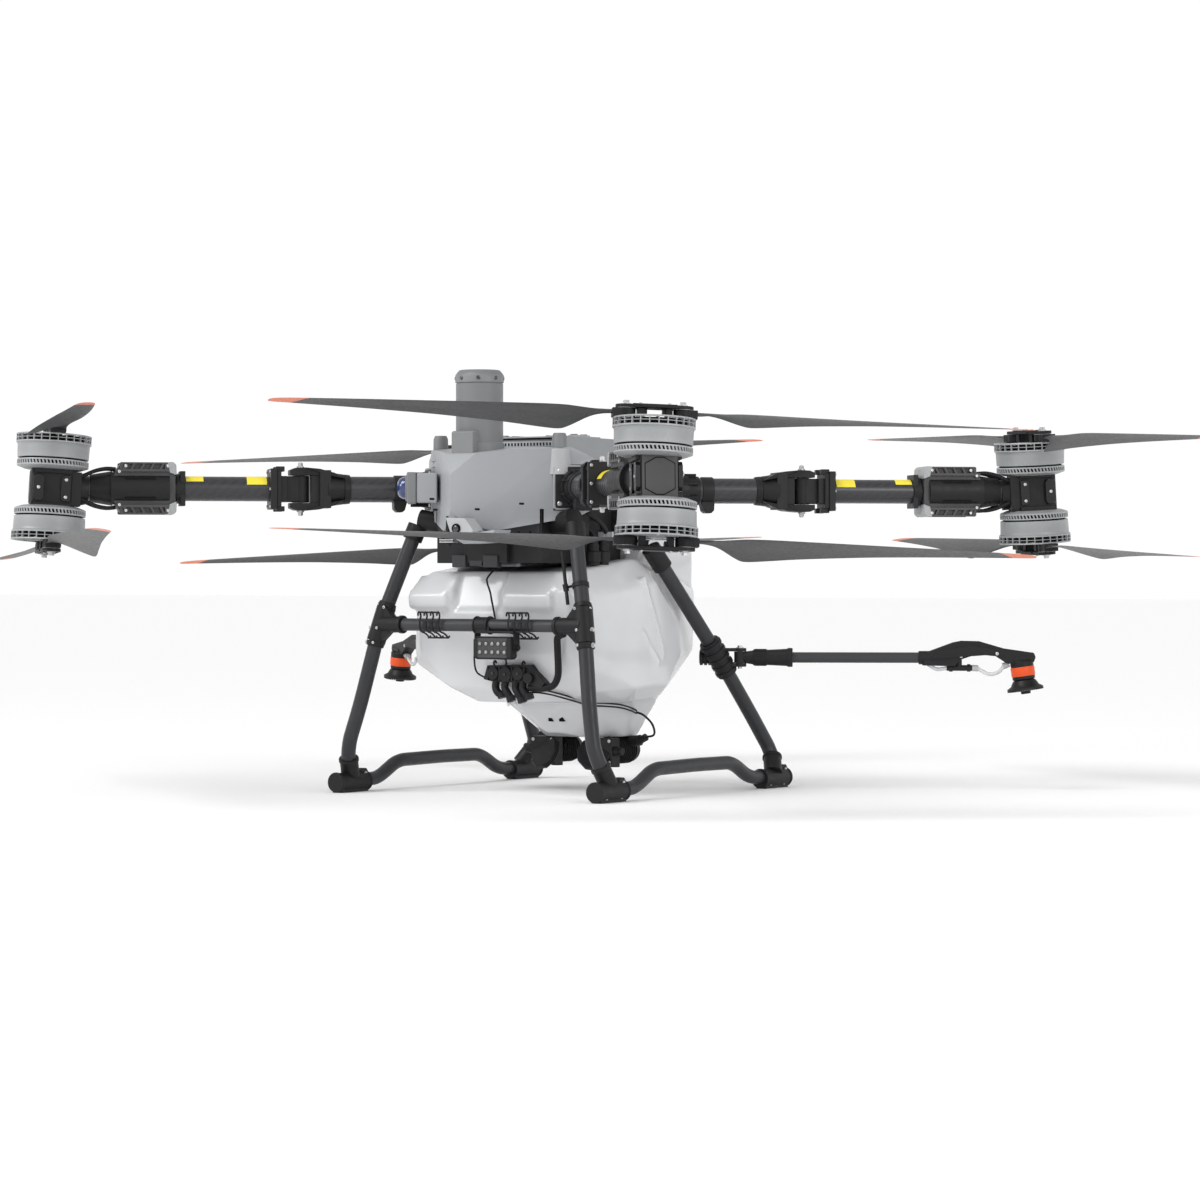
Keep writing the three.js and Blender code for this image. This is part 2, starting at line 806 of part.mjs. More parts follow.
// Blade stations from the root: distance from the rotor axis, leading and trailing edge,
// thickness and pitch in degrees.
const BLADE_STATIONS = [
  { radius: 74, lead: 17, trail: -17, thick: 12, pitch: 3 },
  { radius: 118, lead: 17, trail: -20, thick: 11, pitch: 10 },
  { radius: 152, lead: 22, trail: -52, thick: 10, pitch: 19 },
  { radius: 186, lead: 28, trail: -86, thick: 9, pitch: 20 },
  { radius: 300, lead: 31, trail: -76, thick: 7, pitch: 16 },
  { radius: 450, lead: 28, trail: -58, thick: 5.5, pitch: 12.5 },
  { radius: 620, lead: 20, trail: -42, thick: 4, pitch: 10 },
  { radius: 755, lead: 10, trail: -32, thick: 2.8, pitch: 8 },
  { radius: BLADE_TIP, lead: -10, trail: -26, thick: 2, pitch: 8 },
];

// A four-sided aerofoil section; the leading edge is at +Y, and lift says which side is up.
function bladeSection({ radius, lead, trail, thick, pitch }, lift) {
  const chord = lead - trail;
  const outline = [
    [lead, 0],
    [lead - 0.35 * chord, 0.65 * thick],
    [trail, 0],
    [lead - 0.35 * chord, -0.35 * thick],
  ];
  const slope = pitch * DEGREE;
  const section = outline.map(([y, z]) => [
    radius - BLADE_PIVOT,
    y * Math.cos(slope) - z * Math.sin(slope),
    lift * (y * Math.sin(slope) + z * Math.cos(slope)),
  ]);
  return lift > 0 ? section : section.reverse();
}

// A closed skin through sections that all have the same number of points.
function lofted(sections) {
  const count = sections[0].length;
  const faces = [];
  for (let s = 0; s + 1 < sections.length; s += 1) {
    for (let i = 0; i < count; i += 1) {
      const next = (i + 1) % count;
      const a = s * count + i;
      const b = s * count + next;
      faces.push(a, b, b + count, a, b + count, a + count);
    }
  }
  const last = (sections.length - 1) * count;
  for (let i = 1; i + 1 < count; i += 1) {
    faces.push(0, i + 1, i, last, last + i, last + i + 1);
  }
  const geometry = new THREE.BufferGeometry();
  geometry.setAttribute("position", new THREE.Float32BufferAttribute(sections.flat(2), 3));
  geometry.setIndex(faces);
  return geometry;
}

// A folding blade about its bolt: X towards the tip.
function blade(lift) {
  const halfEye = (HUB_PLATE_LOW - BELL_HIGH) / 2 - GAP;
  const skin = lofted(BLADE_STATIONS.map((station) => bladeSection(station, lift)));
  const eye = rod([0, 0, -halfEye], [0, 0, halfEye], 20, 20, 12);
  const shank = box([0, -17, -7], [20, 17, 7]);
  const boltHole = boreRadius(BLADE_BOLT, 6);
  const bore = rod([0, 0, -30], [0, 0, 30], boltHole, boltHole, 6);
  return cut(join(skin, eye, shank), bore);
}

// One rotor in its own frame: Z away from the arm, blades parked at an angle in degrees.
function rotor(name, lift, parked) {
  const hub = node(`rotor_${name}`, rotorHub().translate(0, 0, -HUB_HEIGHT), MOTOR_GREY);
  const group = groupOf(hub);
  const middle = (BELL_HIGH + HUB_PLATE_LOW) / 2 - HUB_HEIGHT;
  [0, 180].forEach((half, i) => {
    const mesh = node(`blade_${name}_${"ab"[i]}`, blade(lift), BLADE_CHARCOAL);
    mesh.position.set(BLADE_PIVOT * Math.cos(half * DEGREE), 0, middle);
    mesh.rotation.z = half * DEGREE;
    group.add(mesh);
  });
  group.rotation.z = parked * DEGREE;
  return group;
}

function arm({ name, azimuth, roll, upperBlades, lowerBlades }) {
  const upper = groupOf(rotor(`${name}_upper`, 1, upperBlades));
  upper.position.z = HUB_HEIGHT;
  upper.rotation.x = roll * MOTOR_ROLL;
  const lower = groupOf(rotor(`${name}_lower`, -1, -lowerBlades));
  lower.position.z = -HUB_HEIGHT;
  lower.rotation.x = Math.PI + roll * MOTOR_ROLL;
  const mount = node(`motor_mount_${name}`, motorMount(roll), BLACK_PLASTIC);
  const motors = groupOf(mount, upper, lower);
  motors.position.x = MOTOR_RADIUS - FOLD_PIN;
  motors.rotation.y = -MOTOR_LEAN;

  const swinging = groupOf(
    node(`arm_${name}`, outerArm(), CARBON),
    node(`esc_${name}`, speedController(), BLACK_PLASTIC),
    motors,
  );
  swinging.position.x = FOLD_PIN;
  const whole = groupOf(node(`arm_root_${name}`, innerArm(), CARBON), swinging);
  whole.position.z = ARM_HEIGHT;
  whole.rotation.z = azimuth * DEGREE;
  return whole;
}

// ---- Assembly -----------------------------------------------------------------------------

function sprayBoom(side, name) {
  const spinner = node(`atomiser_${name}`, atomiser(), BLACK_PLASTIC);
  const down = new THREE.Vector3(Math.sin(NOZZLE_LEAN), 0, -Math.cos(NOZZLE_LEAN));
  spinner.position.set(NOZZLE_REACH - BOOM_PIN, 0, 0).addScaledVector(down, 61);
  spinner.rotation.y = -NOZZLE_LEAN;
  const swinging = groupOf(node(`boom_${name}`, boom(), DARK_TUBE), spinner);
  const angle = side > 0 ? BOOM_DIRECTION : Math.PI - BOOM_DIRECTION;
  swinging.position.set(
    side * BOOM_CLAMP.x + BOOM_PIN * Math.cos(angle),
    BOOM_CLAMP.y + BOOM_PIN * Math.sin(angle),
    BOOM_HEIGHT,
  );
  swinging.rotation.z = angle;
  return swinging;
}

const lid = node("tank_lid", tankLid(), BLACK_PLASTIC);
lid.position.set(FILLER.x, FILLER.y, TANK_TOP);
const light = node("work_light", workLight(), BLACK_PLASTIC);
light.position.set(LIGHT.x, LIGHT.y, LIGHT.z);

const antennas = [1, -1].map((side) => {
  const x = side * ANTENNA.x;
  return rod([x, ANTENNA.y, 790], [x, ANTENNA.y, 830], ANTENNA.radius);
});

const airframe = groupOf(
  node("center_frame", centerFrame(), BLACK_PLASTIC),
  node("nose_shell", join(noseShell(), ...antennas), SHELL_GREY),
  node("radar_mast", radarMast(), MAST_GREY),
  node("battery", battery(), SHELL_GREY),
  node("tank", tank(), TANK_WHITE),
  lid,
  node("pump_left", pump(1), BLACK_PLASTIC),
  node("pump_right", pump(-1), BLACK_PLASTIC),
  node("leg_front_left", frontLeg(1), DARK_TUBE),
  node("leg_front_right", frontLeg(-1), DARK_TUBE),
  node("leg_rear_left", rearLeg(1), DARK_TUBE),
  node("leg_rear_right", rearLeg(-1), DARK_TUBE),
  node("skid_left", skid(1), DARK_TUBE),
  node("skid_right", skid(-1), DARK_TUBE),
  node("crossbar", crossbar(), DARK_TUBE),
  light,
  sprayBoom(1, "left"),
  sprayBoom(-1, "right"),
);

const drone = groupOf(airframe, ...ARMS.map(arm));
const bounds = new THREE.Box3().setFromObject(drone, true);
const middle = bounds.getCenter(new THREE.Vector3());
drone.position.set(-middle.x, -middle.y, -bounds.min.z);

export default groupOf(drone);
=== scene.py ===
# The looks of the agricultural spray drone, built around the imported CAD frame.
# Metres, +Z up, nose towards -Y; left and right are the aircraft's own, so the left side is +X.
import json
import math

import bmesh
import bpy
from mathutils import Matrix, Vector


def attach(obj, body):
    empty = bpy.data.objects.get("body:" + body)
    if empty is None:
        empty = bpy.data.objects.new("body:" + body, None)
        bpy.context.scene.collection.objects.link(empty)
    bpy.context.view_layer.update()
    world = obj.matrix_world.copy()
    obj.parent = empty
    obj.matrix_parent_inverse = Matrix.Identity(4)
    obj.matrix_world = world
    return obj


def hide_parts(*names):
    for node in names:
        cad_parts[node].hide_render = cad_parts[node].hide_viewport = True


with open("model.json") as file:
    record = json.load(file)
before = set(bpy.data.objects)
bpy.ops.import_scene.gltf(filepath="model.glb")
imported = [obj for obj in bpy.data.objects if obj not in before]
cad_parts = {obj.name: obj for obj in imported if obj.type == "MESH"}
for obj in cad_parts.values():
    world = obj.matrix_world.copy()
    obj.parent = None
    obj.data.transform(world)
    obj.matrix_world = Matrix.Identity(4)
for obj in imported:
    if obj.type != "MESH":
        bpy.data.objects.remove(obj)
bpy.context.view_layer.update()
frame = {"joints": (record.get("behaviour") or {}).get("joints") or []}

# ---- Driving values, most of them read from the frame --------------------------------------

MM = 0.001
JOINTS = {joint["name"]: joint for joint in frame["joints"]}
ARM_NAMES = ["front_left", "front_right", "rear_left", "rear_right"]
FOLD_PINS = {name: Vector(JOINTS[f"arm_fold_{name}"]["pos_m"]) for name in ARM_NAMES}
CENTER = sum(FOLD_PINS.values(), Vector()) / 4
CENTER.z = 0.0
ARM_HEIGHT = FOLD_PINS["front_left"].z
SIDES = ((1, "left"), (-1, "right"))


def pin_of(joint):
    return Vector(JOINTS[joint]["pos_m"])


def outward_of(arm_name):
    """The level direction from the drone's middle to an arm's fold pin."""
    outward = FOLD_PINS[arm_name] - CENTER
    outward.z = 0
    return outward


def spot(x, y, z):
    """A point given in millimetres from the drone's middle, at its place in the frame."""
    return CENTER + Vector((x, y, z)) * MM


# ---- Camera, floor and light ---------------------------------------------------------------

CAMERA_SPOT = (5012.3, -7202.7, 510.3)
CAMERA_HEADING = 34.13  # degrees from +Y towards -X
CAMERA_RISE = -0.408  # degrees above level
CAMERA_LENS = 112
FLOOR_HALF = 60  # metres
# The surround's brightness, from low down to overhead.
SURROUND = {"From Min": 0.22, "From Max": 0.5, "To Min": 1.02, "To Max": 0.6}


def make_camera():
    data = bpy.data.cameras.new("camera")
    data.sensor_width = 36
    data.lens = CAMERA_LENS
    data.clip_end = 200
    camera = bpy.data.objects.new("camera", data)
    bpy.context.scene.collection.objects.link(camera)
    heading = math.radians(CAMERA_HEADING)
    forward = Vector((-math.sin(heading), math.cos(heading), math.tan(math.radians(CAMERA_RISE))))
    camera.location = spot(*CAMERA_SPOT)
    camera.rotation_euler = forward.to_track_quat("-Z", "Y").to_euler()
    bpy.context.scene.camera = camera


def make_stage():
    mesh = bpy.data.meshes.new("floor")
    corners = [(x * FLOOR_HALF, y * FLOOR_HALF, 0) for x, y in ((-1, -1), (1, -1), (1, 1), (-1, 1))]
    mesh.from_pydata(corners, [], [(0, 1, 2, 3)])
    floor = bpy.data.objects.new("floor", mesh)
    bpy.context.scene.collection.objects.link(floor)
    floor.data.materials.append(plain("floor_paper", (0.97, 0.97, 0.97), 0.95))


def make_sun(name, toward, strength, spread):
    data = bpy.data.lights.new(name, "SUN")
    data.energy = strength
    data.angle = math.radians(spread)
    lamp = bpy.data.objects.new(name, data)
    lamp.rotation_euler = Vector(toward).to_track_quat("-Z", "Y").to_euler()
    bpy.context.scene.collection.objects.link(lamp)


def make_softbox(name, location, size, power):
    """A square light that shows as a bright patch in glossy surfaces."""
    data = bpy.data.lights.new(name, "AREA")
    data.size = size
    data.energy = power
    lamp = bpy.data.objects.new(name, data)
    lamp.location = location
    toward = Vector((0, 0, 0.5)) - Vector(location)
    lamp.rotation_euler = toward.to_track_quat("-Z", "Y").to_euler()
    bpy.context.scene.collection.objects.link(lamp)


def make_lights():
    """A white surround that is brightest low down, with two very soft suns and two softboxes."""
    bpy.context.scene.view_settings.view_transform = "Standard"
    world = bpy.data.worlds.new("studio")
    bpy.context.scene.world = world
    world.use_nodes = True
    tree = world.node_tree
    background = tree.nodes["Background"]
    background.inputs["Color"].default_value = (1, 1, 1, 1)
    direction = tree.nodes.new("ShaderNodeSeparateXYZ")
    place = tree.nodes.new("ShaderNodeTexCoord")
    tree.links.new(place.outputs["Generated"], direction.inputs[0])
    fall = tree.nodes.new("ShaderNodeMapRange")
    for socket, value in SURROUND.items():
        fall.inputs[socket].default_value = value
    tree.links.new(direction.outputs["Z"], fall.inputs["Value"])
    tree.links.new(fall.outputs["Result"], background.inputs["Strength"])
    make_sun("key", (0.35, 0.75, -1.0), 1.25, 30)
    make_sun("fill", (-1.0, 0.5, -0.5), 0.25, 40)
    make_softbox("left_box", (-3.2, -4.6, 3.0), 1.8, 60)
    make_softbox("right_box", (5.5, -1.5, 2.6), 1.8, 50)


# ---- Materials -----------------------------------------------------------------------------


def plain(name, color, roughness):
    material = bpy.data.materials.new(name)
    material.use_nodes = True
    shader = material.node_tree.nodes["Principled BSDF"]
    shader.inputs["Base Color"].default_value = (*color, 1)
    shader.inputs["Roughness"].default_value = roughness
    return material


class Nodes:
    """A material's node tree with short calls for the nodes used here."""

    def __init__(self, name):
        self.material = bpy.data.materials.new(name)
        self.material.use_nodes = True
        self.tree = self.material.node_tree
        self.shader = self.tree.nodes["Principled BSDF"]
        self.place = self.add("ShaderNodeTexCoord").outputs["Object"]

    def add(self, kind, links=None, **settings):
        node = self.tree.nodes.new(kind)
        for key, value in settings.items():
            setattr(node, key, value)
        for socket, source in (links or {}).items():
            if isinstance(source, (int, float, tuple)):
                node.inputs[socket].default_value = source
            else:
                self.tree.links.new(source, node.inputs[socket])
        return node

    def noise(self, scale, detail=3.0, stretch=None):
        vector = self.place
        if stretch:
            vector = self.add("ShaderNodeMapping", {"Vector": vector, "Scale": stretch}).outputs[0]
        links = {"Vector": vector, "Scale": scale, "Detail": detail}
        return self.add("ShaderNodeTexNoise", links).outputs["Fac"]

    def math(self, operation, first, second=0.0):
        return self.add("ShaderNodeMath", {0: first, 1: second}, operation=operation).outputs[0]

    def between(self, factor, low, high, start=0.3, stop=0.7):
        """Low where the factor is at start, high where it is at stop; numbers or colours."""
        links = {"Value": factor, "From Min": start, "From Max": stop}
        share = self.add("ShaderNodeMapRange", links).outputs["Result"]
        if isinstance(low, (int, float)):
            links = {"Factor": share, 2: float(low), 3: float(high)}
            return self.add("ShaderNodeMix", links, data_type="FLOAT").outputs[0]
        low_color = low if not isinstance(low, tuple) else (*low, 1)
        high_color = high if not isinstance(high, tuple) else (*high, 1)
        links = {"Factor": share, 6: low_color, 7: high_color}
        return self.add("ShaderNodeMix", links, data_type="RGBA").outputs[2]

    def bump(self, height, strength, distance=0.0004):
        links = {"Height": height, "Strength": strength, "Distance": distance}
        normal = self.add("ShaderNodeBump", links).outputs["Normal"]
        self.tree.links.new(normal, self.shader.inputs["Normal"])

    def set(self, **values):
        for key, value in values.items():
            socket = self.shader.inputs[key.replace("_", " ")]
            if hasattr(value, "is_linked"):
                self.tree.links.new(value, socket)
            else:
                socket.default_value = value


def scaled(color, factor):
    return tuple(channel * factor for channel in color)


def moulded(
    name, color, roughness, grain=900.0, grain_depth=0.12, variation=0.06, metallic=0.0, shine=0.5
):
    """Moulded or coated surface: faint cloudy colour, uneven gloss, fine grain and worn corners."""
    n = Nodes(name)
    cloud = n.noise(9.0, 4.0)
    body = n.between(cloud, scaled(color, 1 - variation), scaled(color, 1 + variation))
    edge = n.add("ShaderNodeNewGeometry").outputs["Pointiness"]
    lighter = tuple(min(1.0, channel * 1.25 + 0.01) for channel in color)
    n.set(Base_Color=n.between(edge, body, lighter, 0.53, 0.6))
    n.set(Roughness=n.between(n.noise(60.0), roughness - 0.06, roughness + 0.07))
    n.set(Metallic=metallic, Specular_IOR_Level=shine)
    n.bump(n.noise(grain, 2.0), grain_depth, 0.0003)
    return n.material


def carbon_twill(name, color, strand=0.006):
    """Woven tube: a two-over-two twill laid out on the tube's own unrolled surface."""
    n = Nodes(name)
    unrolled = n.add("ShaderNodeUVMap").outputs["UV"]
    parts = n.add("ShaderNodeSeparateXYZ", {0: unrolled})
    across = n.math("DIVIDE", parts.outputs[0], strand)
    along = n.math("DIVIDE", parts.outputs[1], strand)
    cell = n.math("ADD", n.math("FLOOR", across), n.math("FLOOR", along))
    over = n.math("LESS_THAN", n.math("FLOORED_MODULO", cell, 4.0), 1.5)
    ridge_across = n.math("PINGPONG", across, 0.5)
    ridge_along = n.math("PINGPONG", along, 0.5)
    ridge = n.add("ShaderNodeMix", {"Factor": over, 2: ridge_across, 3: ridge_along}).outputs[0]
    tone = n.math("MULTIPLY_ADD", over, 0.6)
    cloudy = n.math("ADD", tone, n.math("MULTIPLY", n.noise(50.0), 0.35))
    n.set(Base_Color=n.between(cloudy, scaled(color, 0.55), scaled(color, 2.1), 0.1, 0.9))
    n.set(Roughness=n.between(over, 0.34, 0.52, 0.0, 1.0))
    n.set(Coat_Weight=0.5, Coat_Roughness=0.18, Specular_IOR_Level=0.3)
    n.bump(ridge, 0.5, 0.0004)
    return n.material


def blade_finish(name, orange_from):
    """Charcoal composite with faint lengthwise streaks and an orange tip past a slanted line."""
    n = Nodes(name)
    parts = n.add("ShaderNodeSeparateXYZ", {0: n.add("ShaderNodeUVMap").outputs["UV"]})
    radius = parts.outputs[1]
    streak = n.noise(40.0, 3.0, (0.2, 1.0, 1.0))
    body = n.between(streak, (0.034, 0.035, 0.037), (0.050, 0.051, 0.053))
    slanted = n.math("ADD", radius, n.math("MULTIPLY", parts.outputs[0], 0.8))
    tip = n.math("GREATER_THAN", slanted, orange_from)
    n.set(Base_Color=n.between(tip, body, (0.72, 0.20, 0.11), 0.0, 1.0))
    n.set(Roughness=n.between(n.noise(120.0), 0.36, 0.47), Specular_IOR_Level=0.35)
    n.bump(n.noise(1500.0, 2.0), 0.08, 0.0002)
    return n.material


def tank_finish(name):
    """Blow-moulded translucent white polyethylene: milky, glossy, a little cloudy and orange-peeled."""
    n = Nodes(name)
    cloud = n.noise(4.0, 3.0)
    n.set(Base_Color=n.between(cloud, (0.60, 0.61, 0.625), (0.70, 0.71, 0.725)))
    n.set(Roughness=n.between(n.noise(14.0), 0.14, 0.22))
    n.set(Subsurface_Weight=0.35, Subsurface_Radius=(0.03, 0.03, 0.03), Subsurface_Scale=1.0)
    n.set(IOR=1.5, Coat_Weight=0.3, Coat_Roughness=0.08)
    n.bump(n.noise(30.0, 1.0), 0.05, 0.0006)
    return n.material


def metal(name, color, roughness):
    """Plated steel with a fine brushed grain."""
    n = Nodes(name)
    brushed = n.noise(400.0, 2.0, (1.0, 1.0, 0.1))
    n.set(Base_Color=n.between(brushed, scaled(color, 0.85), color), Metallic=1.0)
    n.set(Roughness=n.between(brushed, roughness - 0.05, roughness + 0.1))
    n.bump(brushed, 0.05, 0.0001)
    return n.material


def glass(name, color, roughness=0.05):
    """Dark coated lens: a deep tint under a hard clear coat."""
    n = Nodes(name)
    n.set(Base_Color=n.between(n.noise(30.0), scaled(color, 0.7), color))
    n.set(Roughness=roughness, Coat_Weight=1.0, Coat_Roughness=0.02, IOR=1.5)
    return n.material


def clear_hose(name):
    n = Nodes(name)
    n.set(Base_Color=n.between(n.noise(60.0), (0.72, 0.74, 0.75), (0.85, 0.86, 0.87)))
    n.set(Roughness=0.12, Transmission_Weight=0.45, IOR=1.45, Alpha=1.0)
    return n.material


MATERIALS = {
    "shell": moulded("shell_grey", (0.30, 0.31, 0.325), 0.46),
    "hood": moulded("hood_grey", (0.24, 0.25, 0.26), 0.46),
    "mast": moulded("mast_grey", (0.165, 0.17, 0.175), 0.46),
    "motor": moulded("motor_grey", (0.30, 0.31, 0.315), 0.4, 1400.0, 0.08, 0.04, 0.15),
    "dark_grey": moulded("dark_grey", (0.055, 0.054, 0.056), 0.5, shine=0.3),
    "black": moulded("fitting_black", (0.009, 0.009, 0.010), 0.45, shine=0.25),
    # Near-black with almost no shine: painted shade in holes, slots, ports, gaps and inside the motors, and
    # the camera barrel's own black.
    "gloss_black": moulded("gloss_black", (0.006, 0.006, 0.007), 0.2, 300.0, 0.02, shine=0.35),
    "black_and_painted_shade": moulded("black_and_painted_hollow_shade", (0.003, 0.003, 0.0035), 0.8, shine=0.05),
    "rubber": moulded("cable_rubber", (0.008, 0.008, 0.009), 0.55, 500.0, 0.05, shine=0.25),
    "gear": moulded("gear_coating", (0.026, 0.027, 0.030), 0.36, 1500.0, 0.1, 0.08, shine=0.35),
    "carbon": carbon_twill("carbon_twill", (0.014, 0.014, 0.016)),
    "blade": blade_finish("blade_composite", 0.715),
    "tank": tank_finish("tank_polyethylene"),
    "steel": metal("bolt_steel", (0.62, 0.62, 0.62), 0.32),
    "yellow": moulded("yellow_film", (0.70, 0.58, 0.03), 0.35, 300.0, 0.03),
    "orange": moulded("orange_ring", (0.68, 0.075, 0.012), 0.4, shine=0.3),
    "pale": moulded("pale_grey", (0.36, 0.37, 0.38), 0.42),
    "lens": glass("lens_dark", (0.01, 0.012, 0.016)),
    "blue_dome": glass("dome_blue", (0.012, 0.035, 0.16)),
    "led": glass("led_cover", (0.30, 0.30, 0.29), 0.15),
    "clear": clear_hose("hose_clear"),
}

# ---- Shape helpers -------------------------------------------------------------------------
# A shape is (points, faces, layouts): a layout is a face's unrolled corners, or None.
# Shapes are worked out in millimetres; metres() brings them to the frame's own unit.


def merged(*shapes):
    points, faces, layouts = [], [], []
    for more_points, more_faces, more_layouts in shapes:
        start = len(points)
        points.extend(more_points)
        faces.extend(tuple(start + i for i in face) for face in more_faces)
        layouts.extend(more_layouts)
    return points, faces, layouts


def moved(shape, matrix):
    points, faces, layouts = shape
    placed = [matrix @ Vector(point) for point in points]
    if matrix.determinant() < 0:
        faces = [tuple(reversed(face)) for face in faces]
        layouts = [layout and tuple(reversed(layout)) for layout in layouts]
    return placed, faces, layouts


def shifted(shape, x, y, z):
    return moved(shape, Matrix.Translation((x, y, z)))


def turned_z(shape, angle):
    return moved(shape, Matrix.Rotation(angle, 4, "Z"))


def mirrored_x(shape):
    return moved(shape, Matrix.Scale(-1, 4, (1, 0, 0)))


def sided(shape, side):
    """A left-hand shape as it is for side 1, or mirrored for side -1."""
    return shape if side > 0 else mirrored_x(shape)


def both_sides(shape):
    return merged(shape, mirrored_x(shape))


def metres(shape):
    """A shape in millimetres, with its unrolled skin, brought to metres."""
    points, faces, layouts = moved(shape, Matrix.Scale(MM, 4))
    return points, faces, [layout and tuple((u * MM, v * MM) for u, v in layout) for layout in layouts]


def block(corner, opposite):
    """A box between two opposite corners, given in either order."""
    xs, ys, zs = (sorted(pair) for pair in zip(corner, opposite))
    corners = [Vector((x, y, z)) for x in xs for y in ys for z in zs]
    faces = [(0, 1, 3, 2), (4, 6, 7, 5), (0, 4, 5, 1), (2, 3, 7, 6), (0, 2, 6, 4), (1, 5, 7, 3)]
    return corners, faces, [None] * 6


def prism(outline, start, stop):
    """An outline in the XY plane, given either way round, raised from one height to another."""
    low, high = sorted((start, stop))
    count = len(outline)
    edges = zip(outline, outline[1:] + outline[:1])
    twice_area = sum(x0 * y1 - x1 * y0 for (x0, y0), (x1, y1) in edges)
    if twice_area < 0:
        outline = outline[::-1]
    points = [Vector((x, y, z)) for z in (low, high) for x, y in outline]
    faces = [tuple(reversed(range(count))), tuple(range(count, 2 * count))]
    for i in range(count):
        j = (i + 1) % count
        faces.append((i, j, j + count, i + count))
    return points, faces, [None] * len(faces)


def slab(outline, low, high):
    """An outline in the XZ plane, spread from one Y to another."""
    upright = Matrix(((1, 0, 0, 0), (0, 0, 1, 0), (0, 1, 0, 0), (0, 0, 0, 1)))
    return moved(prism(outline, low, high), upright)


def bar(outline, low, high):
    """An outline in the YZ plane, spread from one X to another."""
    lying = Matrix(((0, 0, 1, 0), (1, 0, 0, 0), (0, 1, 0, 0), (0, 0, 0, 1)))
    return moved(prism(outline, low, high), lying)


def turned(profile, sides=48):
    """A profile of (radius, height) pairs turned about Z; radius 0 closes it on the axis."""
    points, faces, rings = [], [], []
    for radius, height in profile:
        if radius < 1e-7:
            rings.append([len(points)])
            points.append(Vector((0, 0, height)))
            continue
        rings.append(list(range(len(points), len(points) + sides)))
        for i in range(sides):
            angle = 2 * math.pi * i / sides
            points.append(Vector((radius * math.cos(angle), radius * math.sin(angle), height)))
    for lower, upper in zip(rings, rings[1:]):
        for i in range(sides):
            j = (i + 1) % sides
            if len(lower) == 1 and len(upper) == 1:
                continue
            if len(lower) == 1:
                faces.append((lower[0], upper[j], upper[i]))
            elif len(upper) == 1:
                faces.append((lower[i], lower[j], upper[0]))
            else:
                faces.append((lower[i], lower[j], upper[j], upper[i]))
    return points, faces, [None] * len(faces)


def smooth_route(points, steps=6):
    """A Catmull-Rom curve through given points."""
    points = [Vector(point) for point in points]
    if len(points) < 3:
        return points
    padded = [2 * points[0] - points[1], *points, 2 * points[-1] - points[-2]]
    route = []
    for a, b, c, d in zip(padded, padded[1:], padded[2:], padded[3:]):
        for step in range(steps):
            t = step / steps
            square = (2 * a - 5 * b + 4 * c - d) * t**2
            cube = (3 * b - a - 3 * c + d) * t**3
            route.append(0.5 * (2 * b + (c - a) * t + square + cube))
    route.append(points[-1])
    return route


def tube(route, radius, sides=16, end_radius=None):
    """A capped tube along a route, unrolled so that its skin has lengths in metres."""
    route = [Vector(point) for point in route]
    end_radius = radius if end_radius is None else end_radius
    points, faces, layouts = [], [], []
    before, after = [route[0], *route[:-1]], [*route[1:], route[-1]]
    tangents = [(b - a).normalized() for a, b in zip(before, after)]
    side = tangents[0].orthogonal().normalized()
    lengths = [0.0]
    for a, b in zip(route, route[1:]):
        lengths.append(lengths[-1] + (b - a).length)
    for i, (center, tangent) in enumerate(zip(route, tangents)):
        side = (side - tangent * side.dot(tangent)).normalized()
        other = tangent.cross(side)
        here = radius + (end_radius - radius) * lengths[i] / lengths[-1]
        for k in range(sides):
            angle = 2 * math.pi * k / sides
            points.append(center + here * (math.cos(angle) * side + math.sin(angle) * other))
    around = 2 * math.pi * max(radius, end_radius)
    for i in range(len(route) - 1):
        for k in range(sides):
            j = (k + 1) % sides
            faces.append((i * sides + k, i * sides + j, (i + 1) * sides + j, (i + 1) * sides + k))
            left, right = around * k / sides, around * (k + 1) / sides
            low, high = lengths[i], lengths[i + 1]
            layouts.append(((left, low), (right, low), (right, high), (left, high)))
    last = (len(route) - 1) * sides
    faces.append(tuple(reversed(range(sides))))
    faces.append(tuple(range(last, last + sides)))
    layouts.extend([None, None])
    return points, faces, layouts


def rod(start, end, radius, sides=20, end_radius=None):
    return tube([start, end], radius, sides, end_radius)


def lofted(sections, layouts=None):
    """A closed skin through sections with the same number of points."""
    count = len(sections[0])
    points = [Vector(point) for section in sections for point in section]
    faces, corners = [], []
    for s in range(len(sections) - 1):
        for i in range(count):
            j = (i + 1) % count
            face = (s * count + i, s * count + j, (s + 1) * count + j, (s + 1) * count + i)
            faces.append(face)
            corners.append(layouts and tuple(layouts[index] for index in face))
    faces.append(tuple(reversed(range(count))))
    corners.append(layouts and tuple(layouts[index] for index in reversed(range(count))))
    last = range((len(sections) - 1) * count, len(sections) * count)
    faces.append(tuple(last))
    corners.append(layouts and tuple(layouts[index] for index in last))
    return points, faces, corners


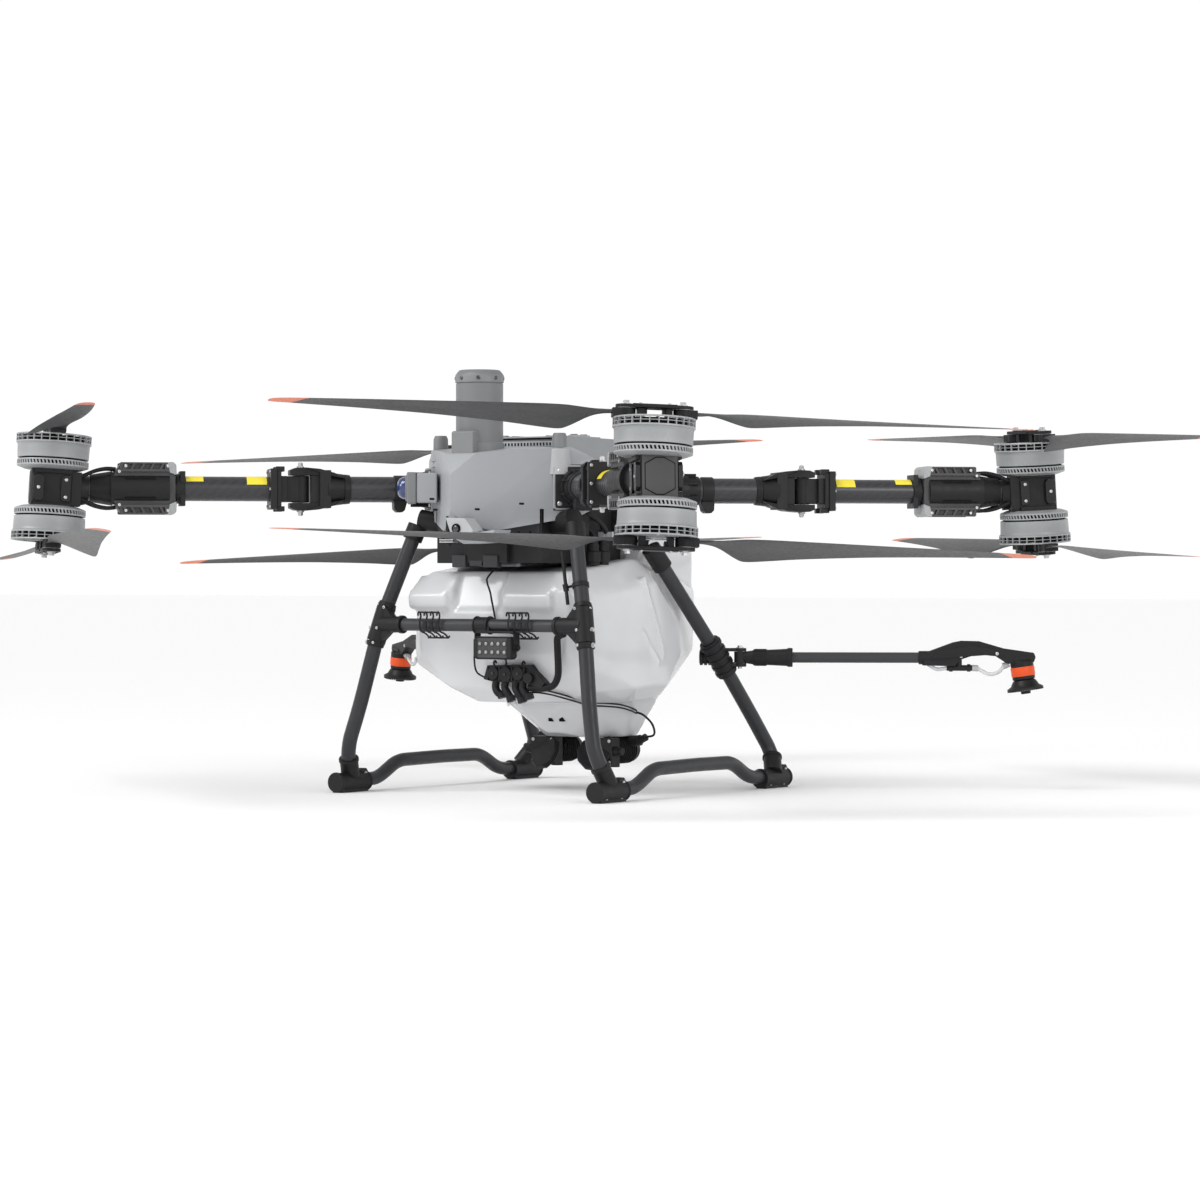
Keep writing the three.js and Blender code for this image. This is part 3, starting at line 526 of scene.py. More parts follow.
def windowed_ring(outer, inner, levels, count, open_rows, share, slant=0.0):
    """A ring wall of posts, each with that share of its pitch, with windows in the open rows."""
    rows = len(levels) - 1
    cells = 2 * count
    points = []
    for z in levels:
        for radius in (outer, inner):
            for i in range(cells):
                angle = math.tau * (i // 2 + (i % 2) * share) / count + slant * (z - levels[0])
                points.append(Vector((radius * math.cos(angle), radius * math.sin(angle), z)))

    def solid(i, row):
        return 0 <= row < rows and not (i % 2 == 1 and row in open_rows)

    def add(*corners):
        faces.append(tuple((2 * level + wall) * cells + i % cells for level, wall, i in corners))

    faces = []
    for row in range(rows):
        up = row + 1
        for i in range(cells):
            if not solid(i, row):
                continue
            j = i + 1
            add((row, 0, i), (row, 0, j), (up, 0, j), (up, 0, i))
            add((row, 1, j), (row, 1, i), (up, 1, i), (up, 1, j))
            if not solid(i, row - 1):
                add((row, 0, j), (row, 0, i), (row, 1, i), (row, 1, j))
            if not solid(i, up):
                add((up, 0, i), (up, 0, j), (up, 1, j), (up, 1, i))
            if not solid(i - 1, row):
                add((row, 0, i), (up, 0, i), (up, 1, i), (row, 1, i))
            if not solid(j, row):
                add((row, 0, j), (row, 1, j), (up, 1, j), (up, 0, j))
    return points, faces, [None] * len(faces)


def ring_of(shape, count, axis="Z", start=0.0):
    """Copies of a shape at even turns about an axis."""
    turns = [Matrix.Rotation(math.tau * (i + start) / count, 4, axis) for i in range(count)]
    return merged(*[moved(shape, turn) for turn in turns])


def bolt(foot, along, radius, height):
    """A hexagon head on a washer, standing on a surface at foot."""
    along = Vector(along).normalized()
    foot = Vector(foot)
    washer = rod(foot, foot + along * height * 0.3, radius * 1.5, 16)
    head = rod(foot + along * height * 0.3, foot + along * height, radius, 6)
    return merged(washer, head)


def screw(foot, along, radius, height):
    """A low round screw head with a socket in it."""
    shares = [(0, 0), (1, 0), (1, 0.7), (0.8, 1), (0.45, 1), (0.4, 0.3), (0, 0.3)]
    profile = [(radius * across, height * up) for across, up in shares]
    turn = Vector((0, 0, 1)).rotation_difference(Vector(along)).to_matrix().to_4x4()
    return moved(turned(profile, 14), Matrix.Translation(foot) @ turn)


def round_bar(from_x, to_x, radius, low, high, sides=12):
    """A flat bar in plan with round ends, from one X to another."""
    outline = []
    for center, start in ((to_x, -90), (from_x, 90)):
        for i in range(sides + 1):
            angle = math.radians(start + 180 * i / sides)
            outline.append((center + radius * math.cos(angle), radius * math.sin(angle)))
    return prism(outline, low, high)


def hull(points, mirrored=True):
    """The smallest convex skin around points, also mirrored across x = 0 unless told not to."""
    mesh = bmesh.new()
    for x, y, z in points:
        mesh.verts.new((x, y, z))
        if mirrored:
            mesh.verts.new((-x, y, z))
    result = bmesh.ops.convex_hull(mesh, input=mesh.verts)
    loose = [item for item in result["geom_interior"] if isinstance(item, bmesh.types.BMVert)]
    bmesh.ops.delete(mesh, geom=loose, context="VERTS")
    bmesh.ops.dissolve_limit(mesh, angle_limit=math.radians(2), verts=mesh.verts, edges=mesh.edges)
    mesh.verts.ensure_lookup_table()
    mesh.verts.index_update()
    skin = [v.co.copy() for v in mesh.verts]
    faces = [tuple(v.index for v in face.verts) for face in mesh.faces]
    mesh.free()
    return skin, faces, [None] * len(faces)


def in_place(shape):
    """A shape in millimetres from the drone's middle, brought to its place in the frame."""
    return moved(metres(shape), Matrix.Translation(CENTER))


def mesh_of(name, shape, finish, sharp=32.0):
    points, faces, layouts = shape
    mesh = bpy.data.meshes.new(name)
    mesh.from_pydata([tuple(point) for point in points], [], faces)
    if any(layouts):
        layer = mesh.uv_layers.new(name="UVMap")
        for polygon, layout in zip(mesh.polygons, layouts):
            for loop, corner in zip(polygon.loop_indices, layout or ()):
                layer.data[loop].uv = corner
    mesh.materials.append(MATERIALS[finish])
    mesh.polygons.foreach_set("use_smooth", [True] * len(mesh.polygons))
    mesh.set_sharp_from_angle(angle=math.radians(sharp))
    return mesh


def piece(name, body, shape, finish, place=None, bevel=0.0, replaces=()):
    """One visible piece: a mesh, or a shape in metres, put at its place and riding on a body."""
    mesh = shape if isinstance(shape, bpy.types.Mesh) else mesh_of(name, shape, finish)
    obj = bpy.data.objects.new(name, mesh)
    bpy.context.scene.collection.objects.link(obj)
    if place is not None:
        obj.matrix_world = place
    if bevel:
        rounded = obj.modifiers.new("bevel", "BEVEL")
        rounded.width = bevel
        rounded.segments = 2
        rounded.limit_method = "ANGLE"
        rounded.angle_limit = math.radians(35)
        rounded.harden_normals = True
    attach(obj, body)
    if replaces:
        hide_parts(*replaces)
    return obj


def frame_of(origin, x_axis, z_axis):
    """A frame from its origin, its Z axis and a direction that X leans towards."""
    z = Vector(z_axis).normalized()
    x = (Vector(x_axis) - z * Vector(x_axis).dot(z)).normalized()
    y = z.cross(x)
    turn = Matrix((x, y, z)).transposed().to_4x4()
    return Matrix.Translation(origin) @ turn


def fixed(name, shape, finish, bevel=0.0, replaces=()):
    """A piece of the airframe, given in millimetres from the drone's middle."""
    return piece(name, "airframe", in_place(shape), finish, None, bevel * MM, replaces)


# ---- Rotors --------------------------------------------------------------------------------
# A rotor's own frame has Z away from the arm and X towards its first blade's bolt.

HUB_HEIGHT = 137.5  # a rotor's origin above the arm's axis
BELL_RADIUS = 85.5
BELL_WALL = 5
WINDOW_COUNT = 28
SPOKE_COUNT = 12
SLOT_COUNT = 60
SLOT_SLANT = -0.004  # turn per millimetre of height
BLADE_PIVOT = 58.5


def above_arm(height):
    """A height above the arm's axis, in the rotor's own frame."""
    return height - HUB_HEIGHT


def raised(profile, sides):
    """A turned profile whose heights are given above the arm's axis."""
    return turned([(radius, above_arm(height)) for radius, height in profile], sides)


def raised_block(x, y, z):
    """A block from pairs of X, Y and height above the arm's axis."""
    return block((x[0], y[0], above_arm(z[0])), (x[1], y[1], above_arm(z[1])))


def bell_shape():
    """The spinning bell: a tapered band, two rows of cooling windows and a spoked top."""
    band = [
        (0, 68), (77, 68), (80, 66.5), (81, 67.5), (82, 92), (82, 96), (82.6, 97), (82.6, 99),
        (85.5, 101), (85.5, 103), (84, 103.5), (0, 103.5),
    ]
    rim = [(78, 119), (85.5, 119), (86, 120), (85, 121.5), (80, 121.5), (78, 120.5), (78, 119)]
    center = [(0, 112), (30, 112), (30, 120.5), (28, 121.3), (0, 121.3)]
    levels = [above_arm(height) for height in (103, 104.2, 110.6, 112, 118.2, 119.4)]
    windows = windowed_ring(BELL_RADIUS, BELL_RADIUS - BELL_WALL, levels, WINDOW_COUNT, (1, 3), 0.11)
    spoke = raised_block((24, 80), (-2.2, 2.2), (116, 120.4))
    spokes = ring_of(spoke, SPOKE_COUNT)
    return merged(raised(band, 96), windows, raised(rim, 96), raised(center, 40), spokes)


def hub_clamp_shape():
    """The black plate over the blade roots with its posts, standing on the bell."""
    shapes = [
        round_bar(-BLADE_PIVOT, BLADE_PIVOT, 22, above_arm(141), above_arm(148)),
        raised_block((-46, 46), (-17, 17), (148, 150)),
        raised_block((-26, 26), (-24, 24), (142, 147)),
    ]
    for end in (-1, 1):
        shapes.append(raised_block((end * 22, end * 36), (-15, 15), (121, 141)))
        shapes.append(raised_block((end * 16, end * 24), (-11, 11), (130, 141)))
        pivot = end * BLADE_PIVOT
        shapes.append(rod((pivot, 0, above_arm(121)), (pivot, 0, above_arm(124)), 18))
    return merged(*shapes)


def hub_bolts_shape():
    shapes = []
    for end in (-1, 1):
        shapes.append(bolt((end * BLADE_PIVOT, 0, above_arm(148)), (0, 0, 1), 6.5, 9))
        for side in (-1, 1):
            shapes.append(screw((end * 30, side * 11, above_arm(150)), (0, 0, 1), 3.2, 2.4))
    return merged(*shapes)


def hub_washers_shape():
    low, high = above_arm(140.2), above_arm(141)
    pivots = (-BLADE_PIVOT, BLADE_PIVOT)
    return merged(*[rod((x, 0, low), (x, 0, high), 21, 32) for x in pivots])


# Blade stations: distance from the rotor axis, leading edge, trailing edge, thickness and pitch.
BLADE_STATIONS = [
    (82, 17, -17, 17, 0),
    (100, 16.5, -17.5, 16, 3),
    (118, 17, -21, 14.5, 10),
    (136, 19, -34, 13, 16),
    (154, 22, -54, 11.5, 19),
    (172, 25.5, -74, 10, 20),
    (190, 28, -86, 9.5, 20),
    (230, 30.5, -85, 9, 18.5),
    (300, 31, -76, 8, 16),
    (380, 30, -66.5, 7, 14),
    (450, 28, -58, 6.2, 12.5),
    (540, 24.5, -49.5, 5.2, 11),
    (620, 20, -42, 4.4, 10),
    (690, 15, -36.5, 3.6, 9),
    (740, 10.5, -33, 3.0, 8),
    (770, 4, -30, 2.4, 8),
    (783, -5, -27, 1.8, 8),
    (787, -13, -24, 1.2, 8),
]
# The usual four-digit aerofoil's thickness, as factors of the root, first, second... power.
AEROFOIL_FACTORS = ((0.5, 0.2969), (1, -0.126), (2, -0.3516), (3, 0.2843), (4, -0.1036))
CAMBER = 0.24
UPPER_SHARE, LOWER_SHARE = 0.62, 0.5
FULLNESS = 2.6


def aerofoil(thickness, points=9):
    """Upper then lower surface from the nose to the tail: (share behind the nose, height)."""
    stations = [0.5 * (1 - math.cos(math.pi * i / points)) for i in range(points + 1)]

    def height(share, surface):
        bow = CAMBER * 4 * share * (1 - share)
        half = FULLNESS * sum(factor * share**power for power, factor in AEROFOIL_FACTORS)
        return thickness * (bow + surface * half)

    upper = [(share, height(share, UPPER_SHARE)) for share in stations[:-1]]
    lower = [(share, height(share, -LOWER_SHARE)) for share in reversed(stations[1:-1])]
    return upper + [(1.0, 0.0)] + lower


def blade_shape(lift):
    """A blade about its bolt, X towards the tip; lift is 1 where Z is up and -1 where it is down."""
    sections, layouts = [], []
    for radius, lead, trail, thickness, pitch in smooth_route(BLADE_STATIONS, 3):
        slope = math.radians(pitch)
        section = []
        for share, height in aerofoil(thickness):
            across = lead - share * (lead - trail)
            y = across * math.cos(slope) - height * math.sin(slope)
            z = across * math.sin(slope) + height * math.cos(slope)
            section.append(Vector((radius - BLADE_PIVOT, y, lift * z)))
            layouts.append((across, radius))
        sections.append(section)
    points, faces, corners = lofted(sections, layouts)
    if lift > 0:
        faces = [tuple(reversed(face)) for face in faces]
        corners = [tuple(reversed(corner)) for corner in corners]
    return points, faces, corners


def blade_root_shape():
    """The black root fitting round the fold bolt, gripping the blade."""
    eye = turned([(0, -9), (19, -9), (20, -8), (20, 8), (19, 9), (0, 9)], 32)
    grip = block((0, -18, -9), (29, 18, 9))
    ribs = [block((x, -18.6, -6), (x + 3, 18.6, 6)) for x in (8, 16, 24)]
    return merged(eye, grip, *ribs)


def shared(*rows):
    """Meshes used once on every arm, from rows of name, shape, finish and bevel."""
    meshes = []
    for name, shape, finish, bevel in rows:
        meshes.append((name, mesh_of(name, metres(shape), finish), finish, bevel))
    return meshes


def put(meshes, body, place, ending, node=None):
    """Lays shared meshes on a body; the first one takes the CAD node's place if one is named."""
    for i, (name, mesh, finish, bevel) in enumerate(meshes):
        replaced = [node] if node and i == 0 else ()
        piece(f"{name}_{ending}", body, mesh, finish, place, bevel * MM, replaced)


def make_rotors():
    hub_parts = shared(
        ("bell", bell_shape(), "motor", 0),
        # A near-black drum inside the bell: painted shade seen through the windows.
        ("bell_inside_shade", raised([(0, 103), (75, 103), (75, 117), (0, 117)], 48), "black_and_painted_shade", 0),
        ("hub_clamp", hub_clamp_shape(), "black", 0.8),
        ("hub_bolts", hub_bolts_shape(), "steel", 0),
        ("hub_washers", hub_washers_shape(), "pale", 0),
    )
    root = shared(("root", blade_root_shape(), "black", 0.8))
    skins = {lift: mesh_of("skin", metres(blade_shape(lift)), "blade", 60.0) for lift in (1, -1)}
    for arm_name in ARM_NAMES:
        for level, lift in (("upper", 1), ("lower", -1)):
            name = f"{arm_name}_{level}"
            rotor = f"rotor_{name}"
            spin = JOINTS[f"{rotor}_spin"]
            hub = Vector(spin["pos_m"])
            first = pin_of(f"blade_{name}_a_fold")
            put(hub_parts, rotor, frame_of(hub, first - hub, spin["axis"]), name, rotor)
            for half in ("a", "b"):
                node = f"blade_{name}_{half}"
                pivot = pin_of(f"{node}_fold")
                place = frame_of(pivot, pivot - hub, spin["axis"])
                piece(f"skin_{node}", node, skins[lift], "blade", place, replaces=[node])
                put(root, node, place, node)


# ---- Motor mounts --------------------------------------------------------------------------
# A mount's own frame has X outward along the arm and Z towards the upper motor.


def stator_shape():
    """The fixed grey skirt under a bell: a slotted ring with a flared underside."""
    skirt = [(0, 42), (64, 42), (66, 42.4), (80, 47.4), (81.5, 48.5), (81.5, 50.2), (79, 50.6), (0, 50.6)]
    rim = [(0, 61.2), (81.5, 61.2), (81.2, 62.6), (79, 63.2), (0, 63.2)]
    levels = [above_arm(height) for height in (50, 51.5, 59.5, 61.5)]
    slots = windowed_ring(81.5, 75, levels, SLOT_COUNT, (1,), 0.45, SLOT_SLANT)
    return merged(raised(skirt, 96), slots, raised(rim, 96))


def motor_block_shape():
    """The black block between the two motors, waisted at mid height."""
    outline = [(-50, -46), (46, -46), (46, -32), (41, -25), (41, 25), (46, 32), (46, 46), (-50, 46)]
    ends = [block((-44, -48, side * 34), (40, 48, side * 46)) for side in (1, -1)]
    return merged(slab(outline, -40, 40), *ends)


FACE_X = 48.2
HEXAGON = [(-30, -25), (-8, -37), (8, -37), (30, -25), (30, 25), (8, 37), (-8, 37), (-30, 25)]


def face_panel_shape():
    """The dark grey outer face, reaching to both slotted rings, with its hexagonal cover."""
    return merged(block((40, -37, -45), (FACE_X + 0.2, 37, 45)), bar(HEXAGON, FACE_X, FACE_X + 2.2))


def shadow_line_shape():
    """A black sheet painted as the shadow line round the hexagonal cover."""
    return bar([(y * 1.06, z * 1.05) for y, z in HEXAGON], FACE_X, FACE_X + 0.6)


def side_cover_shape(side):
    """The glossy covers on a side of the block: a tall one outboard and a low one inboard."""
    tall = [(24, -30), (36, -30), (43, -22), (43, 22), (36, 30), (24, 30), (19, 22), (19, -22)]
    low = [(-42, -30), (-26, -30), (-20, -24), (-20, 24), (-26, 30), (-42, 30)]
    return merged(slab(tall, side * 39, side * 49), slab(low, side * 39, side * 45))


def side_screws_shape(side):
    spots = [(31, 49, 0), (-31, 45, 20), (-31, 45, -20)]
    return merged(*[screw((x, side * y, z), (0, side, 0), 4, 2) for x, y, z in spots])


def mount_neck_shape():
    """The sleeve that takes the arm's tube into the block."""
    collar = rod((-62, 0, 0), (-40, 0, 0), 39, 40)
    cone = rod((-84, 0, 0), (-62, 0, 0), 31.5, 40, 37)
    ears = [block((-66, y - 7, -39), (-44, y + 7, 39)) for y in (-34, 34)]
    return merged(collar, cone, *ears)


def make_motor_mounts():
    mount = shared(
        ("motor_block", motor_block_shape(), "black", 1.5),
        ("face_panel", face_panel_shape(), "dark_grey", 1.2),
        # Painted shadow line round the hexagonal cover.
        ("face_shadow_line", shadow_line_shape(), "black_and_painted_shade", 0),
        ("mount_neck", mount_neck_shape(), "black", 1),
    )
    for side, word in SIDES:
        mount += shared(
            (f"side_cover_{word}", side_cover_shape(side), "gloss_black", 1.2),
            (f"side_screws_{word}", side_screws_shape(side), "steel", 0),
        )
    stator = shared(
        ("stator", stator_shape(), "motor", 0),
        # A near-black drum inside the slotted ring: painted shade seen through the slots.
        ("stator_inside_shade", raised([(0, 49), (74.5, 49), (74.5, 66), (0, 66)], 64), "black_and_painted_shade", 0),
    )
    for arm_name in ARM_NAMES:
        body = f"arm_{arm_name}"
        levels = ("upper", "lower")
        upper, lower = (pin_of(f"rotor_{arm_name}_{level}_spin") for level in levels)
        outward = outward_of(arm_name)
        place = frame_of((upper + lower) / 2, outward, upper - lower)
        put(mount, body, place, arm_name, f"motor_mount_{arm_name}")
        for level in levels:
            spin = JOINTS[f"rotor_{arm_name}_{level}_spin"]
            place = frame_of(Vector(spin["pos_m"]), outward, spin["axis"])
            put(stator, body, place, f"{arm_name}_{level}")


# ---- Arms ----------------------------------------------------------------------------------
# An arm's own frame has X outward from the drone's middle, at the arm's height.

INNER_TUBE = 30
OUTER_TUBE = 28.5
ESC_FROM, ESC_TO = 887, 1033
ESC_HALF_HEIGHT = 59.5
ROOT_PLATE = 300
FILM = 0.5


def root_plate_shape():
    plate = block((ROOT_PLATE - 7.7, -50, -46), (ROOT_PLATE, 50, 46))
    boss = rod((299, 0, 0), (318, 0, 0), 43, 40, 40)
    socket = rod((316, 0, 0), (346, 0, 0), 36, 40, 34)
    rib = block((ROOT_PLATE, -2, 30), (338, 2, 43))
    return merged(plate, boss, socket, ring_of(rib, 8, "X", 0.5))


def root_bolts_shape():
    corners = [(y, z) for y in (-41, 41) for z in (-37, 37)]
    return merged(*[screw((ROOT_PLATE, y, z), (1, 0, 0), 5.5, 3.5) for y, z in corners])


def clevis_shape():
    """The fixed half of the fold: a tapered socket that opens into two bowed ears."""
    cheek = [
        (496, 24), (522, 38), (556, 47), (590, 50), (612, 49), (624, 44), (624, 32), (600, 32), (540, 32),
    ]
    shapes = [
        rod((483, 0, 0), (498, 0, 0), 33.5, 40, 35),
        rod((498, 0, 0), (537, 0, 0), 35, 40, 40),
        block((530, -36, -44), (556, 36, 44)),
        block((550, -24, -42), (576, 24, 42)),
    ]
    for flip in (1, -1):
        outline = [(x, flip * z) for x, z in cheek]
        trimmed = [(x, z) for x, z in outline if x < 600]
        shapes.append(slab(outline, -30, 30))
        shapes.extend(slab(trimmed, side * 30, side * 35) for side in (-1, 1))
    return merged(*shapes)


def fold_barrel_shape():
    """The swinging half: barrel, two-stage neck, block and bolted flange, about the fold pin."""
    lugs = [block((40, y - 9, z - 6), (60, y + 9, z + 6)) for z in (-46, 46) for y in (-26, 26)]
    return merged(
        turned([(0, -31), (20, -31), (20, 31), (0, 31)], 32),
        block((6, -19, -30), (40, 19, 30)),
        block((34, -32, -30), (64, 32, 30)),
        block((48, -41, -41), (58, 41, 41)),
        block((58, -45, -47), (73, 45, 47)),
        *lugs,
    )


def fold_bolts_shape():
    shapes = []
    for end in (-1, 1):
        shapes.append(bolt((0, 0, end * 50), (0, 0, end), 6, 10))
        shapes.append(rod((0, 0, end * 58), (0, 0, end * 62), 4.5, 16))
    return merged(*shapes)


def flange_screws_shape():
    spots = [(y, z) for y in (-38, 38) for z in (-40, 0, 40)]
    return merged(*[screw((73, y, z), (1, 0, 0), 3.6, 2.5) for y, z in spots])


def esc_core():
    """The case inside its bars: a box with cut corners, a little smaller than the bars' outline."""
    low, high, top = ESC_FROM + 3, ESC_TO - 3, ESC_HALF_HEIGHT - 3
    near, far = (12, 16)
    upper = [(high, top - 26), (high - far, top), (low + near, top), (low, top - near)]
    lower = [(low, near - top), (low + near, -top), (high - far, -top), (high, 26 - top)]
    return slab(upper + lower, -38, 38)


def esc_shape():
    """The speed controller's case: a frame of bars round its cooling slots, above and below the tube."""
    shapes = [esc_core()]
    for side in (-1, 1):
        near, far = side * 37, side * 45
        for flip in (-1, 1):
            frame_bars = [
                (12, 128, 56, ESC_HALF_HEIGHT),
                (14, 140, 38, 44),
                (12, 27, 42, 58),
                (116, 130, 42, 58),
            ]
            for start, stop, low, high in frame_bars:
                corner = (ESC_FROM + start, near, flip * low)
                shapes.append(block(corner, (ESC_FROM + stop, far, flip * high)))
            for i in range(5):
                x = ESC_FROM + 34 + 22 * i
                leaning = [(x, flip * 43), (x + 6, flip * 43), (x - 1, flip * 57), (x - 7, flip * 57)]
                shapes.append(slab(leaning, near, far))
    return merged(*shapes)


def esc_saddle_shape():
    """The curved clamp halves round the tube, with a slot above and below."""
    arc = []
    for i in range(13):
        angle = math.radians(-58 + 116 * i / 12)
        arc.append((43 * math.cos(angle) + 6, 43 * math.sin(angle)))
    half = bar([(20, -36), *arc, (20, 36)], ESC_FROM + 16, ESC_TO + 4)
    nose = rod((ESC_TO - 2, 0, 0), (ESC_TO + 50, 0, 0), 40, 40, 31.5)
    return merged(half, moved(half, Matrix.Rotation(math.pi, 4, "X")), nose)


# Near-black strips on the case's flat sides: painted shade in its slots.
def esc_slot_shade_shape():
    shapes = []
    for side in (-1, 1):
        for z in (-24.5, 24.5):
            corner = (ESC_FROM + 48, side * 44.5, z - 1.6)
            shapes.append(block(corner, (ESC_FROM + 118, side * 46.6, z + 1.6)))
    return merged(*shapes)


def esc_screws_shape():
    spots = [(20, 51), (20, -51), (116, 51), (116, -51), (131, 38), (131, -38)]
    shapes = []
    for side in (-1, 1):
        shapes.extend(screw((ESC_FROM + x, side * 45, z), (0, side, 0), 3.6, 1.6) for x, z in spots)
    return merged(*shapes)


def esc_cap_shape():
    """The pale end cover, on the side of the body, open round the tube."""
    lobe = [(0, 30), (16, 36), (22, 60), (8, 60.5), (1, 54)]
    return merged(*[slab([(ESC_FROM + x, flip * z) for x, z in lobe], -45.5, 45.5) for flip in (-1, 1)])


def loop_cable(side, height):
    """A power cable that bows out of the controller's end and into the motor block."""
    route = [(-8, 22, 44), (14, 24, 45), (38, 27, 40), (62, 29, 30), (84, 30, 22)]
    points = [(ESC_TO + x, side * y, height * z) for x, y, z in route]
    return tube(smooth_route(points), 4.5, 12)


def band_shape(start, stop, low_angle, high_angle):
    """A thin film wrapped round part of the outer tube."""
    steps = 14
    angles = [math.radians(low_angle + (high_angle - low_angle) * i / steps) for i in range(steps + 1)]
    outer, inner = (
        [(radius * math.cos(angle), radius * math.sin(angle)) for angle in angles]
        for radius in (OUTER_TUBE + FILM, OUTER_TUBE)
    )
    return bar(outer + inner[::-1], start, stop)


def strap_shape():
    """The strap round an inner tube with its lug below."""
    lug = [(350, -26), (356, -48), (362, -53), (374, -53), (381, -46), (382, -26)]
    return merged(rod((352, 0, 0), (380, 0, 0), 33, 32), slab(lug, -20, 20))


def tube_collar_shape():
    """The collar where the outer tube enters the speed controller's case."""
    return merged(rod((868, 0, 0), (886, 0, 0), 33, 40, 35), block((866, -30, -40), (878, 30, 40)))


def make_arms():
    root = shared(
        ("root_plate", root_plate_shape(), "black", 1),
        ("root_bolts", root_bolts_shape(), "steel", 0),
        ("inner_tube", rod((330, 0, 0), (500, 0, 0), INNER_TUBE, 48), "carbon", 0),
        ("clevis", clevis_shape(), "black", 1.5),
        ("strap", strap_shape(), "black", 1),
    )
    pin = shared(("fold_bolts", fold_bolts_shape(), "steel", 0))
    swinging = shared(
        ("fold_barrel", fold_barrel_shape(), "black", 1.5),
        ("flange_screws", flange_screws_shape(), "steel", 0),
    )
    outer = shared(
        ("outer_tube", rod((664, 0, 0), (1115, 0, 0), OUTER_TUBE, 48), "carbon", 0),
        ("tube_collar", tube_collar_shape(), "black", 1),
    )
    controller = shared(
        ("esc_case", esc_shape(), "dark_grey", 0.8),
        ("esc_saddle", esc_saddle_shape(), "black", 1),
        ("esc_slot_shade", esc_slot_shade_shape(), "black_and_painted_shade", 0),
        ("esc_screws", esc_screws_shape(), "steel", 0),
        ("esc_cap", esc_cap_shape(), "motor", 2),
        ("film_inner", band_shape(678, 724, 20, 160), "yellow", 0),
        ("film_outer", band_shape(824, 864, 35, 145), "yellow", 0),
    )
    loops = [loop_cable(side, height) for side in (-1, 1) for height in (-1, 1)]
    cables = shared(*[(f"power_cable_{i}", loop, "rubber", 0) for i, loop in enumerate(loops)])
    for arm_name in ARM_NAMES:
        arm = f"arm_{arm_name}"
        outward = outward_of(arm_name)
        place = frame_of(Vector((CENTER.x, CENTER.y, ARM_HEIGHT)), outward, (0, 0, 1))
        at_pin = frame_of(FOLD_PINS[arm_name], outward, (0, 0, 1))
        put(root, "airframe", place, arm_name, f"arm_root_{arm_name}")
        put(pin, "airframe", at_pin, arm_name)
        put(swinging, arm, at_pin, arm_name, arm)
        put(outer, arm, place, arm_name)
        put(controller, arm, place, arm_name, f"esc_{arm_name}")
        put(cables, arm, place, arm_name)


# ---- Body ----------------------------------------------------------------------------------
# Shapes from here on are given from the drone's middle, except where a joint's pin is their origin.

FRAME_LOW, FRAME_HIGH = 655, 756
NOSE_BEVEL = 3.0
QUARTERS = ((1, 1), (-1, 1), (-1, -1), (1, -1))  # the signs of a rounded rectangle's corners
STUB_X, STUB_Y = 168, -220
MAST_Y = -298


def sculpted(name, finish, base, steps, bevel=0.0, voxel=0.0, smoothing=0, sharp=32.0):
    """A form worked out once: rounded, then joined to or cut by other forms, then softened."""

    def temporary(shape):
        obj = bpy.data.objects.new("temporary", mesh_of(name, in_place(shape), finish, sharp))
        bpy.context.scene.collection.objects.link(obj)
        return obj

    form = temporary(base)
    tools = []
    if bevel:
        rounded = form.modifiers.new("bevel", "BEVEL")
        rounded.width = bevel * MM
        rounded.segments = 3
        rounded.limit_method = "ANGLE"
        rounded.angle_limit = math.radians(12)
    for operation, shape in steps:
        tools.append(temporary(shape))
        boolean = form.modifiers.new("boolean", "BOOLEAN")
        boolean.operation = operation
        boolean.solver = "EXACT"
        boolean.object = tools[-1]
    if voxel:
        remesh = form.modifiers.new("remesh", "REMESH")
        remesh.mode = "VOXEL"
        remesh.voxel_size = voxel * MM
        smooth = form.modifiers.new("smooth", "SMOOTH")
        smooth.iterations = smoothing
        smooth.factor = 0.6
    bpy.context.view_layer.update()
    finished = form.evaluated_get(bpy.context.evaluated_depsgraph_get())
    mesh = bpy.data.meshes.new_from_object(finished)
    for obj in (form, *tools):
        bpy.data.objects.remove(obj)
    mesh.polygons.foreach_set("use_smooth", [True] * len(mesh.polygons))
    if not voxel:
        mesh.set_sharp_from_angle(angle=math.radians(sharp))
    return mesh


def along_arm(shape, azimuth):
    return turned_z(shape, math.radians(azimuth))


def root_beam(azimuth, clearance):
    half = 52 + clearance
    beam = block((0, -half, FRAME_LOW - clearance), (ROOT_PLATE - 8, half, FRAME_HIGH + clearance))
    return along_arm(beam, azimuth)


NOSE_CORNERS = [
    (44, -422, 722), (46, -419, 664), (60, -388, 622), (80, -343, 607), (86, -369, 783), (104, -262, 798),
    (146, -278, 626), (169, -255, 748), (184, -240, 650), (196, -212, 798), (214, -205, 640),
    (236, -178, 772), (240, -176, 660), (128, -128, 800), (150, -150, 640),
]


def nose_mesh():
    beyond_plate = block((ROOT_PLATE - 9, -300, 0), (600, 300, 1000))
    cuts = [
        block((-124, -124, FRAME_LOW - 2), (124, 124, FRAME_HIGH + 2)),
        root_beam(-45, 2),
        root_beam(-135, 2),
        along_arm(beyond_plate, -45),
        along_arm(beyond_plate, -135),
        block((-152, -266, 500), (152, 100, FRAME_LOW + 2)),
        block((-300, -136, 500), (300, 100, 900)),
    ]
    steps = [("DIFFERENCE", shape) for shape in cuts]
    return sculpted("nose_shell", "shell", hull(NOSE_CORNERS), steps, NOSE_BEVEL)


